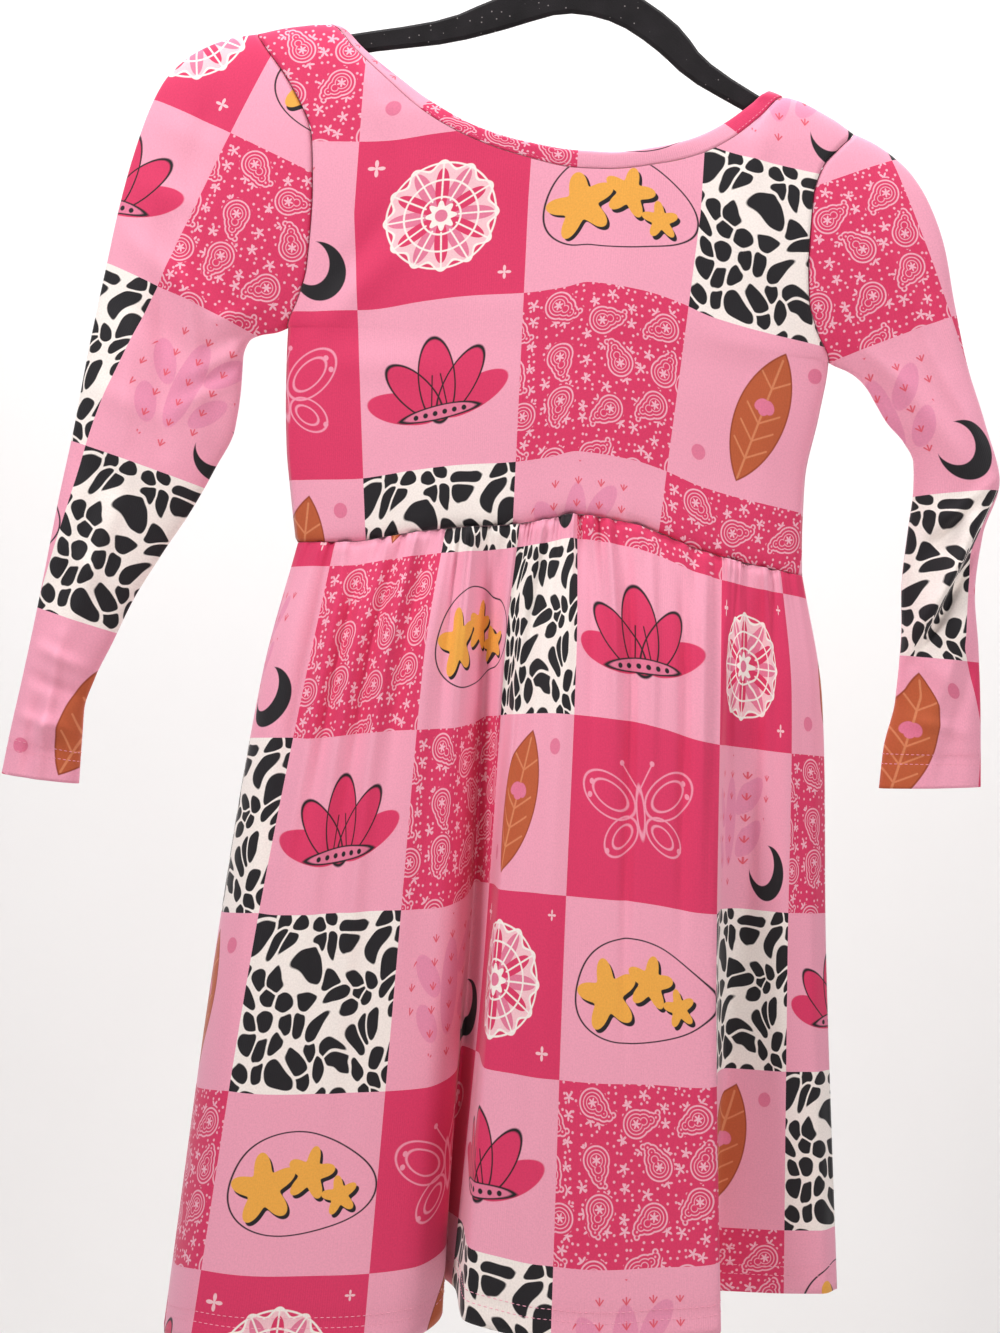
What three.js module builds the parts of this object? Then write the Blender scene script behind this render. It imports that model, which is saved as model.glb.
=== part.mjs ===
// A child's long sleeve dress of printed stretch knit, hanging on a flocked hanger.
// Millimetres, +Z up, -Y towards the viewer, +X to the viewer's right.
// The origin is the inside top of the hook, where the rail carries it.
// Left and right in the names are the wearer's, so the left sleeve is at +X.
import * as THREE from 'three';

// Driving sizes
const CLOTH = 1.2;             // wall of a single layer
const TURNED = 2.0;            // wall where a hem is turned up
const SEAM_GAP = 0.3;          // between two pieces at a seam
const BAND_WALL = 2.0;         // folded neck binding
const BAND_GAP = 0.5;          // between the neck binding and the bodice, where both twist
const CORNER_GAP = 1.1;        // the same where the binding turns over the shoulder seam
const ARMHOLE_GAP = 0.4;       // between a sleeve and the bodice, where both twist
const ARM_CLEAR = 5.6;         // from the middle of the hanger to the binding's outer face
const ARM_CLEAR_SLOPE = 1.5;   // how fast the binding reaches it, below the shoulder seam
const ARMHOLE_DEPTH = 16;      // half the armhole's opening, front to back
const SHOULDER_ROUND = 60;     // fall over which the cloth rounds over the shoulder
const SIDE_ROUND = 2.6;        // how square the bodice is across, 2 is an ellipse
const GATHERS = { front: 19, back: 15 };
const GATHER_DEPTH = 3;        // height of a gather at the waist seam
const GATHER_REACH = 38;       // fall over which a gather fades
// How unevenly the gathers stand: shifts in gathers, and the share by which their size changes
const GATHER_UNEVEN = {
  shift: 0.4, shiftWaves: 2.3, jitter: 0.25, jitterWaves: 5.1, size: 0.25, sizeWaves: 3.7,
};
const SIDE_EASE = 12;          // how soon gathers and soft folds die out towards a side seam
const CREASE_END = 0.35;       // share of a crease's rise left at its ends
const HALF_GAP = SEAM_GAP / 2;

// Points of the garment's outline, seen from the front
const SHOULDER_TIP = { right: { x: -192, z: -140 }, left: { x: 161, z: -174 } };
const ARMPIT = { right: { x: -161, z: -311 }, left: { x: 156, z: -309 } };
const WAIST_SIDE = { right: -147.5, left: 149.5 };
const NECK_CORNER = { right: -150, left: 119 };

// The bodice's edges and depth at each height. Above the armpits the edges are the armholes.
const BODICE_SECTIONS = [
  { z: -130, right: -197, left: 165, front: 15, back: 15 },
  { z: -140, right: -192, left: 164, front: 15, back: 15 },
  { z: -150, right: -185, left: 163, front: 16, back: 15 },
  { z: -165, right: -173, left: 162, front: 16, back: 15 },
  { z: -174, right: -167, left: 161, front: 16, back: 15 },
  { z: -184, right: -161, left: 153, front: 17, back: 15 },
  { z: -197, right: -155, left: 143, front: 17, back: 16 },
  { z: -216, right: -152.5, left: 138, front: 18, back: 16 },
  { z: -244, right: -151, left: 137.5, front: 19, back: 17 },
  { z: -276, right: -152, left: 140, front: 21, back: 18 },
  { z: -294, right: -156, left: 147, front: 22, back: 19 },
  { z: -311, right: -162, left: 156, front: 22, back: 19 },
  { z: -343, right: -161, left: 152.5, front: 23, back: 20 },
  { z: -381, right: -158, left: 147, front: 23, back: 20 },
  { z: -409, right: -153.5, left: 147.5, front: 24, back: 21 },
  { z: -440, right: -148, left: 149.5, front: 24, back: 21 },
];

// The top of the bodice panels: shoulder, neckline, shoulder
const TOP_LINE = [
  { x: -192, z: -140 },
  { x: -172, z: -134.5 },
  { x: -150, z: -131.5 },
  { x: -133, z: -147.5 },
  { x: -115, z: -163 },
  { x: -88, z: -184 },
  { x: -61, z: -196.5 },
  { x: -35, z: -204 },
  { x: 0, z: -209.5 },
  { x: 17, z: -209 },
  { x: 51, z: -202.7 },
  { x: 71, z: -196 },
  { x: 89, z: -185 },
  { x: 105, z: -170 },
  { x: 119, z: -155.5 },
  { x: 147, z: -165.5 },
  { x: 161, z: -174 },
];

// The free edge of the neck binding opposite each point x of its seam. Lean is how far it stands in.
const BINDING_EDGE = [
  { x: -150, edgeX: -142, edgeZ: -132, lean: 0 },
  { x: -133, edgeX: -126.5, edgeZ: -147, lean: 1.5 },
  { x: -115, edgeX: -108.5, edgeZ: -160, lean: 4 },
  { x: -88, edgeX: -83, edgeZ: -177, lean: 3 },
  { x: -61, edgeX: -58, edgeZ: -189, lean: 1 },
  { x: -35, edgeX: -33, edgeZ: -195.5, lean: 0 },
  { x: 0, edgeX: 0, edgeZ: -199, lean: 0 },
  { x: 17, edgeX: 17, edgeZ: -198.8, lean: 0 },
  { x: 51, edgeX: 48, edgeZ: -193, lean: 0 },
  { x: 71, edgeX: 66, edgeZ: -186.5, lean: 1 },
  { x: 89, edgeX: 80.5, edgeZ: -178, lean: 2 },
  { x: 105, edgeX: 96, edgeZ: -165, lean: 1.5 },
  { x: 119, edgeX: 109, edgeZ: -151.8, lean: 0 },
];

// The waist seam rises towards its middle
const WAIST_LINE = [
  { x: -147.5, z: -436 },
  { x: -115, z: -434 },
  { x: -82, z: -427 },
  { x: -55, z: -422 },
  { x: -25, z: -418.5 },
  { x: -2, z: -413.5 },
  { x: 12, z: -409.5 },
  { x: 42, z: -412 },
  { x: 63, z: -417 },
  { x: 84, z: -424.5 },
  { x: 117, z: -431 },
  { x: 149.5, z: -435 },
];

// Each sleeve section runs from the outer edge to the inner edge, flattened to its depth.
// Bow is the share of the armhole's curve that it still has.
const RIGHT_SLEEVE = [
  { outX: -204, outZ: -142.5, inX: -168, inZ: -314, depth: 16, bow: 0.75 },
  { outX: -216, outZ: -147, inX: -177, inZ: -316, depth: 16, bow: 0.45 },
  { outX: -231, outZ: -156, inX: -184, inZ: -320, depth: 15, bow: 0.2 },
  { outX: -245, outZ: -172, inX: -187, inZ: -330, depth: 14, bow: 0.1 },
  { outX: -255, outZ: -198, inX: -187, inZ: -345, depth: 13, bow: 0 },
  { outX: -265, outZ: -242, inX: -189, inZ: -372, depth: 12, bow: 0 },
  { outX: -271, outZ: -282, inX: -199, inZ: -396, depth: 12, bow: 0 },
  { outX: -278, outZ: -332, inX: -211, inZ: -421, depth: 12, bow: 0 },
  { outX: -283.5, outZ: -379, inX: -226, inZ: -447, depth: 11, bow: 0 },
  { outX: -289.5, outZ: -421, inX: -241, inZ: -475, depth: 11, bow: 0 },
  { outX: -294, outZ: -458, inX: -252, inZ: -502, depth: 11, bow: 0 },
  { outX: -298.5, outZ: -493, inX: -261, inZ: -524, depth: 11, bow: 0 },
  { outX: -303.5, outZ: -528, inX: -266, inZ: -544, depth: 12, bow: 0 },
  { outX: -308, outZ: -557, inX: -266, inZ: -564, depth: 12, bow: 0, turned: true },
  { outX: -311.5, outZ: -583, inX: -266, inZ: -586, depth: 12, bow: 0, turned: true },
];
const LEFT_SLEEVE = [
  { outX: 173, outZ: -178.5, inX: 161, inZ: -311, depth: 16, bow: 0.75 },
  { outX: 185, outZ: -185.5, inX: 167, inZ: -313, depth: 16, bow: 0.45 },
  { outX: 196, outZ: -194.5, inX: 174, inZ: -317, depth: 15, bow: 0.2 },
  { outX: 208, outZ: -211, inX: 180, inZ: -323, depth: 14, bow: 0.1 },
  { outX: 219, outZ: -236, inX: 186, inZ: -332, depth: 13, bow: 0 },
  { outX: 227, outZ: -268, inX: 193, inZ: -342, depth: 13, bow: 0 },
  { outX: 237, outZ: -304, inX: 203, inZ: -352, depth: 13, bow: 0 },
  { outX: 250, outZ: -338, inX: 210, inZ: -364, depth: 13, bow: 0 },
  { outX: 261, outZ: -373, inX: 211, inZ: -381, depth: 12, bow: 0 },
  { outX: 253.5, outZ: -403, inX: 209.5, inZ: -403, depth: 11, bow: 0 },
  { outX: 251, outZ: -434, inX: 208, inZ: -434, depth: 11, bow: 0 },
  { outX: 255.5, outZ: -470, inX: 210, inZ: -470, depth: 12, bow: 0 },
  { outX: 259, outZ: -504, inX: 209, inZ: -504, depth: 12, bow: 0 },
  { outX: 261, outZ: -530, inX: 204, inZ: -533, depth: 12, bow: 0, turned: true },
  { outX: 262.5, outZ: -551, inX: 203, inZ: -556, depth: 12, bow: 0, turned: true },
];

// Large creases of the sleeves, as lines seen from the front. A rise below zero is a trough.
const CREASES = {
  sleeve_right: [
    { x0: -190, z0: -320, x1: -262, z1: -262, width: 9, rise: 3.5 },
    { x0: -196, z0: -345, x1: -262, z1: -300, width: 9, rise: -2.5 },
    { x0: -272, z0: -545, x1: -300, z1: -566, width: 6, rise: 3 },
  ],
  sleeve_left: [
    { x0: 258, z0: -374, x1: 212, z1: -476, width: 7, rise: 7 },
    { x0: 176, z0: -300, x1: 246, z1: -372, width: 9, rise: 3.5 },
    { x0: 186, z0: -318, x1: 208, z1: -392, width: 8, rise: -3 },
  ],
};

// Levels of the skirt, as shares of its fall from the waist seam to the hem
const SKIRT_LEVELS = { waist: 0, hip: 0.17, thigh: 0.52, hem: 1 };
// The lines down the skirt that its large folds follow, in plan at each level.
// Depths are counted out from the middle of the garment.
const SKIRT_FOLDS = {
  front: [
    { waistX: -147.5, hipX: -163, hip: 0, thighX: -179, thigh: 0, hemX: -194, hem: 0, hemZ: -899 },
    { waistX: -140, hipX: -160, hip: 14, thighX: -175, thigh: 20, hemX: -189, hem: 26, hemZ: -896 },
    { waistX: -124, hipX: -134, hip: 30, thighX: -152, thigh: 46, hemX: -170, hem: 55, hemZ: -889 },
    { waistX: -100, hipX: -112, hip: 36, thighX: -126, thigh: 50, hemX: -142, hem: 61, hemZ: -889 },
    { waistX: -72, hipX: -82, hip: 38, thighX: -88, thigh: 50, hemX: -95, hem: 60, hemZ: -886 },
    { waistX: -48, hipX: -50, hip: 37, thighX: -49, thigh: 45, hemX: -49, hem: 47, hemZ: -882 },
    { waistX: -38, hipX: -38, hip: 32, thighX: -34, thigh: 30, hemX: -31, hem: 27, hemZ: -872 },
    { waistX: -28, hipX: -29, hip: 28, thighX: -29, thigh: 15, hemX: -36, hem: 5, hemZ: -857 },
    { waistX: -16, hipX: -20, hip: 30, thighX: -20, thigh: 28, hemX: -25, hem: 30, hemZ: -857 },
    { waistX: -3, hipX: -10, hip: 37, thighX: -15, thigh: 58, hemX: -19, hem: 71, hemZ: -861 },
    { waistX: 20, hipX: 27, hip: 43, thighX: 33, thigh: 65, hemX: 43, hem: 83, hemZ: -866 },
    { waistX: 60, hipX: 66, hip: 42, thighX: 72, thigh: 63, hemX: 88, hem: 80, hemZ: -862 },
    { waistX: 98, hipX: 101, hip: 35, thighX: 107, thigh: 56, hemX: 123, hem: 72, hemZ: -857 },
    { waistX: 108, hipX: 109, hip: 25, thighX: 113, thigh: 30, hemX: 121, hem: 38, hemZ: -854 },
    { waistX: 118, hipX: 122, hip: 21, thighX: 124, thigh: 17, hemX: 124, hem: 14, hemZ: -853 },
    { waistX: 133, hipX: 142, hip: 18, thighX: 150, thigh: 16, hemX: 160, hem: 14, hemZ: -852 },
    { waistX: 142, hipX: 158, hip: 12, thighX: 167, thigh: 12, hemX: 188, hem: 12, hemZ: -851 },
    { waistX: 149.5, hipX: 166, hip: 0, thighX: 178.5, thigh: 0, hemX: 199, hem: 0, hemZ: -851 },
  ],
  back: [
    { waistX: -147.5, hipX: -163, hip: 0, thighX: -179, thigh: 0, hemX: -194, hem: 0, hemZ: -899 },
    { waistX: -138, hipX: -158, hip: 15, thighX: -172, thigh: 20, hemX: -186, hem: 26, hemZ: -896 },
    { waistX: -115, hipX: -125, hip: 28, thighX: -138, thigh: 38, hemX: -152, hem: 46, hemZ: -890 },
    { waistX: -85, hipX: -93, hip: 31, thighX: -102, thigh: 40, hemX: -112, hem: 42, hemZ: -884 },
    { waistX: -60, hipX: -64, hip: 26, thighX: -70, thigh: 17, hemX: -82, hem: 10, hemZ: -877 },
    { waistX: -38, hipX: -42, hip: 31, thighX: -48, thigh: 42, hemX: -56, hem: 52, hemZ: -876 },
    { waistX: -5, hipX: -5, hip: 37, thighX: -6, thigh: 56, hemX: -8, hem: 68, hemZ: -872 },
    { waistX: 30, hipX: 32, hip: 36, thighX: 34, thigh: 50, hemX: 34, hem: 58, hemZ: -866 },
    { waistX: 52, hipX: 56, hip: 29, thighX: 58, thigh: 21, hemX: 56, hem: 14, hemZ: -861 },
    { waistX: 75, hipX: 80, hip: 32, thighX: 86, thigh: 42, hemX: 88, hem: 50, hemZ: -860 },
    { waistX: 108, hipX: 118, hip: 29, thighX: 128, thigh: 42, hemX: 140, hem: 50, hemZ: -858 },
    { waistX: 134, hipX: 150, hip: 16, thighX: 160, thigh: 24, hemX: 176, hem: 30, hemZ: -853 },
    { waistX: 149.5, hipX: 166, hip: 0, thighX: 178.5, thigh: 0, hemX: 199, hem: 0, hemZ: -851 },
  ],
};
// Softer folds between the large ones: where they leave the waist, their width there,
// their height, and the shares of the fall where they are highest and where they end
const SOFT_FOLDS = {
  front: [
    { waistX: -112, width: 7, rise: 5, peak: 0.16, end: 0.6 },
    { waistX: -86, width: 6, rise: 6, peak: 0.2, end: 0.8 },
    { waistX: -62, width: 6, rise: 5, peak: 0.14, end: 0.7 },
    { waistX: -22, width: 5, rise: -4, peak: 0.22, end: 0.7 },
    { waistX: 34, width: 7, rise: -4, peak: 0.14, end: 0.6 },
    { waistX: 52, width: 6, rise: 3.5, peak: 0.18, end: 0.8 },
    { waistX: 80, width: 7, rise: -4, peak: 0.15, end: 0.6 },
    { waistX: 126, width: 5, rise: 5, peak: 0.25, end: 0.9 },
  ],
  back: [
    { waistX: -100, width: 7, rise: 6, peak: 0.18, end: 0.7 },
    { waistX: -72, width: 6, rise: -4, peak: 0.15, end: 0.6 },
    { waistX: -20, width: 7, rise: 5, peak: 0.2, end: 0.7 },
    { waistX: 14, width: 6, rise: -4, peak: 0.16, end: 0.6 },
    { waistX: 64, width: 6, rise: 5, peak: 0.22, end: 0.7 },
    { waistX: 96, width: 7, rise: -4, peak: 0.14, end: 0.6 },
    { waistX: 122, width: 6, rise: 5, peak: 0.2, end: 0.8 },
  ],
};

// The middle line of the hanger's shoulders, with half its height
const HANGER_LINE = [
  { x: -216, z: -158.5, half: 5.5 },
  { x: -190, z: -152.5, half: 6 },
  { x: -145, z: -144, half: 6 },
  { x: -125, z: -139.5, half: 6 },
  { x: -79, z: -129.5, half: 7.2 },
  { x: -48, z: -117, half: 9.5 },
  { x: -13, z: -105, half: 10 },
  { x: 20, z: -109, half: 10 },
  { x: 48, z: -125, half: 9.5 },
  { x: 66, z: -141.5, half: 7.5 },
  { x: 99, z: -159.5, half: 6 },
  { x: 120, z: -170, half: 6 },
  { x: 147, z: -181, half: 6 },
  { x: 184, z: -197.5, half: 5.5 },
];
const HANGER = { thickness: 5, bevel: 1.8, stations: 34 };
const HOOK = { wire: 1.9, inside: 20, startAngle: -22, endAngle: 205, step: 17 };
// The hook's straight part and the bend above it
const SHANK = [
  { x: -10, z: -94 },
  { x: -6.5, z: -80 },
  { x: -3, z: -66 },
  { x: 0, z: -54 },
  { x: 7.5, z: -42 },
];

// Rows of the panels, as shares of the fall
const ARMHOLE_ROWS = [0, 0.02, 0.06, 0.13, 0.24, 0.38, 0.55, 0.72, 0.86, 0.95, 1];
const ROWS_BELOW_ARMPIT = 5;
const NECK_COLUMNS = 19;
const SHOULDER_COLUMNS = [0, 0.012, 0.035, 0.07];
const CORNER_COLUMNS = [0.007, 0.018];
const SKIRT_ROWS = [0, 0.013, 0.035, 0.065, 0.11, 0.17, 0.27, 0.4, 0.56, 0.76, 0.955, 1];
const SKIRT_COLUMNS = { front: 72, back: 60 };
const HEM_ROW = 0.955;           // the last row above the skirt's turned hem
const WAIST_DEPTH_Z = -436;      // height at which both panels read the waist's depth

const MATERIALS = {
  cloth: new THREE.MeshStandardMaterial({ color: 0xf0a8c0, roughness: 0.85, metalness: 0 }),
  binding: new THREE.MeshStandardMaterial({ color: 0xd83a68, roughness: 0.85, metalness: 0 }),
  flock: new THREE.MeshStandardMaterial({ color: 0x151316, roughness: 1, metalness: 0 }),
  wire: new THREE.MeshStandardMaterial({ color: 0xc8cacc, roughness: 0.25, metalness: 1 }),
};

// Small helpers
const mix = (a, b, t) => a + (b - a) * t;
const clamp = (v, low, high) => Math.min(high, Math.max(low, v));

// A smooth curve through the rows of a table that makes no hump of its own between them
function curve(rows, key, value) {
  const x = rows.map((row) => row[key]);
  const y = rows.map((row) => row[value]);
  const last = x.length - 1;
  const rise = x.slice(1).map((_, i) => (y[i + 1] - y[i]) / (x[i + 1] - x[i]));
  const slope = x.map((_, i) => {
    if (i === 0) return rise[0];
    if (i === last) return rise[last - 1];
    const product = rise[i - 1] * rise[i];
    return product > 0 ? (2 * product) / (rise[i - 1] + rise[i]) : 0;
  });
  return (at) => {
    const q = clamp(at, x[0], x[last]);
    let i = 0;
    while (i < last - 1 && q > x[i + 1]) i += 1;
    const w = x[i + 1] - x[i];
    const t = (q - x[i]) / w;
    const a = (1 + 2 * t) * (1 - t) ** 2 * y[i] + t * (1 - t) ** 2 * w * slope[i];
    const b = t * t * (3 - 2 * t) * y[i + 1] + t * t * (t - 1) * w * slope[i + 1];
    return a + b;
  };
}

// A closed wall between a sheet of outer points and the same sheet moved in by its thickness.
// sheet[i][j]: i runs across, j runs along, and across x along points out. A round sheet
// closes on itself across. hold(i, j) names the axes along which a point isn't moved, so that
// the faces of two pieces stay parallel at a seam.
function wall(sheet, thickness, { round = false, hold = () => '' } = {}) {
  const across = sheet.length;
  const along = sheet[0].length;
  const column = (i) => (round ? (i + across) % across : clamp(i, 0, across - 1));
  const at = (i, j) => sheet[column(i)][clamp(j, 0, along - 1)];
  const points = [];
  const inner = [];
  for (let i = 0; i < across; i += 1) {
    for (let j = 0; j < along; j += 1) {
      const u = at(i + 1, j).clone().sub(at(i - 1, j));
      const v = at(i, j + 1).clone().sub(at(i, j - 1));
      const normal = u.cross(v).normalize();
      for (const axis of hold(i, j)) normal[axis] = 0;
      normal.normalize();
      points.push(at(i, j));
      inner.push(at(i, j).clone().addScaledVector(normal, -thickness(i, j)));
    }
  }
  const count = points.length;
  const outerId = (i, j) => (i % across) * along + j;
  const innerId = (i, j) => outerId(i, j) + count;
  const index = [];
  const quad = (a, b, c, d) => index.push(a, b, c, a, c, d);
  const steps = round ? across : across - 1;
  for (let i = 0; i < steps; i += 1) {
    for (let j = 0; j < along - 1; j += 1) {
      quad(outerId(i, j), outerId(i + 1, j), outerId(i + 1, j + 1), outerId(i, j + 1));
      quad(innerId(i, j), innerId(i, j + 1), innerId(i + 1, j + 1), innerId(i + 1, j));
    }
    const end = along - 1;
    quad(innerId(i + 1, 0), outerId(i + 1, 0), outerId(i, 0), innerId(i, 0));
    quad(outerId(i, end), outerId(i + 1, end), innerId(i + 1, end), innerId(i, end));
  }
  if (!round) {
    const side = across - 1;
    for (let j = 0; j < along - 1; j += 1) {
      quad(outerId(0, j), outerId(0, j + 1), innerId(0, j + 1), innerId(0, j));
      quad(innerId(side, j), innerId(side, j + 1), outerId(side, j + 1), outerId(side, j));
    }
  }
  const geometry = new THREE.BufferGeometry().setFromPoints([...points, ...inner]);
  geometry.setIndex(index);
  geometry.computeVertexNormals();
  return geometry;
}

function piece(name, geometry, material) {
  const mesh = new THREE.Mesh(geometry, material);
  mesh.name = name;
  return mesh;
}

// Bodice
const upwards = [...BODICE_SECTIONS].reverse();
const edgeOf = { right: curve(upwards, 'z', 'right'), left: curve(upwards, 'z', 'left') };
const depthOf = { front: curve(upwards, 'z', 'front'), back: curve(upwards, 'z', 'back') };
const topZ = curve(TOP_LINE, 'x', 'z');
const waistZ = curve(WAIST_LINE, 'x', 'z');

// Share across a panel of the two corners where shoulder and neckline meet
const topWidth = SHOULDER_TIP.left.x - SHOULDER_TIP.right.x;
const CORNER = {
  right: (NECK_CORNER.right - SHOULDER_TIP.right.x) / topWidth,
  left: (NECK_CORNER.left - SHOULDER_TIP.right.x) / topWidth,
};
const neckSteps = Array.from({ length: NECK_COLUMNS - 1 }, (_, k) => (
  mix(CORNER.right, CORNER.left, (k + 1) / NECK_COLUMNS)
));
const neckShares = [
  CORNER.right,
  ...CORNER_COLUMNS.map((step) => CORNER.right + step),
  ...neckSteps,
  ...CORNER_COLUMNS.map((step) => CORNER.left - step).reverse(),
  CORNER.left,
];
const ACROSS = [...SHOULDER_COLUMNS, ...neckShares, ...SHOULDER_COLUMNS.map((share) => 1 - share).reverse()];

// Half the opening of an armhole, at a share of the way from the shoulder tip to the armpit
const armholeDepth = (share) => ARMHOLE_DEPTH * 2 * Math.sqrt(share * (1 - share));

function armholePoint(side, share) {
  const z = mix(SHOULDER_TIP[side].z, ARMPIT[side].z, share);
  return { x: edgeOf[side](z), z };
}

// The line that the hanger's shoulders give, straight across the neck opening
function shoulderZ(x) {
  const between = (x - NECK_CORNER.right) / (NECK_CORNER.left - NECK_CORNER.right);
  if (between <= 0 || between >= 1) return topZ(x);
  return mix(topZ(NECK_CORNER.right), topZ(NECK_CORNER.left), between);
}

const waistX = (share) => mix(WAIST_SIDE.right, WAIST_SIDE.left, share);
// The height of the waist seam, straight between the bodice's columns so that both panels follow it
function seamZ(share) {
  const k = clamp(ACROSS.findIndex((column) => column >= share), 1, ACROSS.length - 1);
  const t = (share - ACROSS[k - 1]) / (ACROSS[k] - ACROSS[k - 1]);
  return mix(waistZ(waistX(ACROSS[k - 1])), waistZ(waistX(ACROSS[k])), t);
}
const roundAcross = (share, power) => (1 - Math.abs(2 * share - 1) ** SIDE_ROUND) ** power;
const waistDepth = (share, side) => HALF_GAP + depthOf[side](WAIST_DEPTH_Z) * roundAcross(share, 0.5);

// Depth of a point of a bodice panel, out from the middle of the garment
function bodiceDepth(side, share, x, z, opening) {
  const fall = clamp((shoulderZ(x) - z) / SHOULDER_ROUND, 0, 1);
  const full = depthOf[side](z) * Math.sqrt(1 - (1 - fall) ** 2);
  const power = 0.5 + (0.4 * opening) / ARMHOLE_DEPTH;
  return HALF_GAP + opening + Math.max(full - opening, 0) * roundAcross(share, power);
}

function bodicePoint(side, share, row) {
  const out = side === 'front' ? -1 : 1;
  if (row < ARMHOLE_ROWS.length) {
    const down = ARMHOLE_ROWS[row];
    const x = mix(armholePoint('right', down).x, armholePoint('left', down).x, share);
    const xTop = mix(SHOULDER_TIP.right.x, SHOULDER_TIP.left.x, share);
    const z = mix(topZ(xTop), mix(ARMPIT.right.z, ARMPIT.left.z, share), down);
    return new THREE.Vector3(x, out * bodiceDepth(side, share, x, z, armholeDepth(down)), z);
  }
  const down = (row - ARMHOLE_ROWS.length + 1) / ROWS_BELOW_ARMPIT;
  const sideZ = mix(ARMPIT.right.z, WAIST_LINE[0].z, down);
  const edges = down === 1 ? WAIST_SIDE : { right: edgeOf.right(sideZ), left: edgeOf.left(sideZ) };
  const x = mix(edges.right, edges.left, share);
  const z = mix(mix(ARMPIT.right.z, ARMPIT.left.z, share), seamZ(share) + HALF_GAP, down);
  return new THREE.Vector3(x, out * bodiceDepth(side, share, x, z, 0), z);
}

function bodicePanel(side) {
  const rows = ARMHOLE_ROWS.length + ROWS_BELOW_ARMPIT;
  const shares = side === 'front' ? ACROSS : [...ACROSS].reverse();
  const last = shares.length - 1;
  // Rows run up, so that across x along points out of the garment
  const rowList = Array.from({ length: rows }, (_, j) => rows - 1 - j);
  const sheet = shares.map((share) => rowList.map((row) => bodicePoint(side, share, row)));
  const armpitRow = ROWS_BELOW_ARMPIT;
  const hold = (i, j) => {
    const atSide = i === 0 || i === last;
    const atTop = j === rows - 1;
    const onShoulder = shares[i] <= CORNER.right || shares[i] >= CORNER.left;
    if (atTop) return onShoulder ? 'xy' : 'xz';
    if (atSide && j > armpitRow) return 'x';
    if (j === 0) return atSide ? 'yz' : 'z';
    return atSide ? 'y' : '';
  };
  return wall(sheet, () => CLOTH, { hold });
}

// Neck binding: a ring on the bodice's neckline, from its right corner along the front and back again
function neckBinding() {
  const edge = {
    x: curve(BINDING_EDGE, 'x', 'edgeX'),
    z: curve(BINDING_EDGE, 'x', 'edgeZ'),
    lean: curve(BINDING_EDGE, 'x', 'lean'),
  };
  const station = (side, share) => {
    const corner = share === CORNER.right || share === CORNER.left;
    const seam = bodicePoint(side, share, 0);
    const out = side === 'front' ? -1 : 1;
    if (corner) seam.y = 0;
    const free = new THREE.Vector3(edge.x(seam.x), 0, edge.z(seam.x));
    // Past its corner the binding comes down in front of the hanger's arm, clear of it
    const cornerX = seam.x < 0 ? NECK_CORNER.right : NECK_CORNER.left;
    const clear = Math.min(ARM_CLEAR, ARM_CLEAR_SLOPE * (edge.z(cornerX) - free.z));
    if (!corner) free.y = out * Math.max(Math.abs(seam.y) - edge.lean(seam.x), clear, HALF_GAP);
    const slope = topZ(seam.x - 0.5) - topZ(seam.x + 0.5);
    const away = new THREE.Vector3(corner ? Math.sign(free.x - seam.x) : slope, 0, 1).normalize();
    const start = seam.clone().addScaledVector(away, corner ? CORNER_GAP : BAND_GAP);
    return [start, start.clone().lerp(free, 0.5), free];
  };
  const front = neckShares.map((share) => station('front', share));
  const back = neckShares.slice(1, -1).reverse().map((share) => station('back', share));
  const sheet = [...front, ...back];
  const fromCorner = (i) => Math.min(i, Math.abs(i - front.length + 1), sheet.length - i);
  const hold = (i, j) => {
    if (fromCorner(i) === 0) return 'xy';
    return j === 0 ? 'xz' : '';
  };
  // Thinner beside its two corners, where it folds over sharply
  const thickness = (i, j) => {
    if (fromCorner(i) > 1) return j === 0 ? CLOTH : BAND_WALL;
    return j === 0 ? CLOTH / 2 : CLOTH;
  };
  return wall(sheet, thickness, { round: true, hold });
}

// Distance from a point to a line segment, seen from the front, and the share along it
function toSegment(x, z, line) {
  const lx = line.x1 - line.x0;
  const lz = line.z1 - line.z0;
  const t = clamp(((x - line.x0) * lx + (z - line.z0) * lz) / (lx * lx + lz * lz), 0, 1);
  return { distance: Math.hypot(x - line.x0 - lx * t, z - line.z0 - lz * t), share: t };
}

function creaseRise(name, x, z) {
  return CREASES[name].reduce((sum, line) => {
    const { distance, share } = toSegment(x, z, line);
    const ease = CREASE_END + (1 - CREASE_END) * Math.sin(Math.PI * share);
    return sum + line.rise * Math.exp(-((distance / line.width) ** 2)) * ease;
  }, 0);
}

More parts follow.
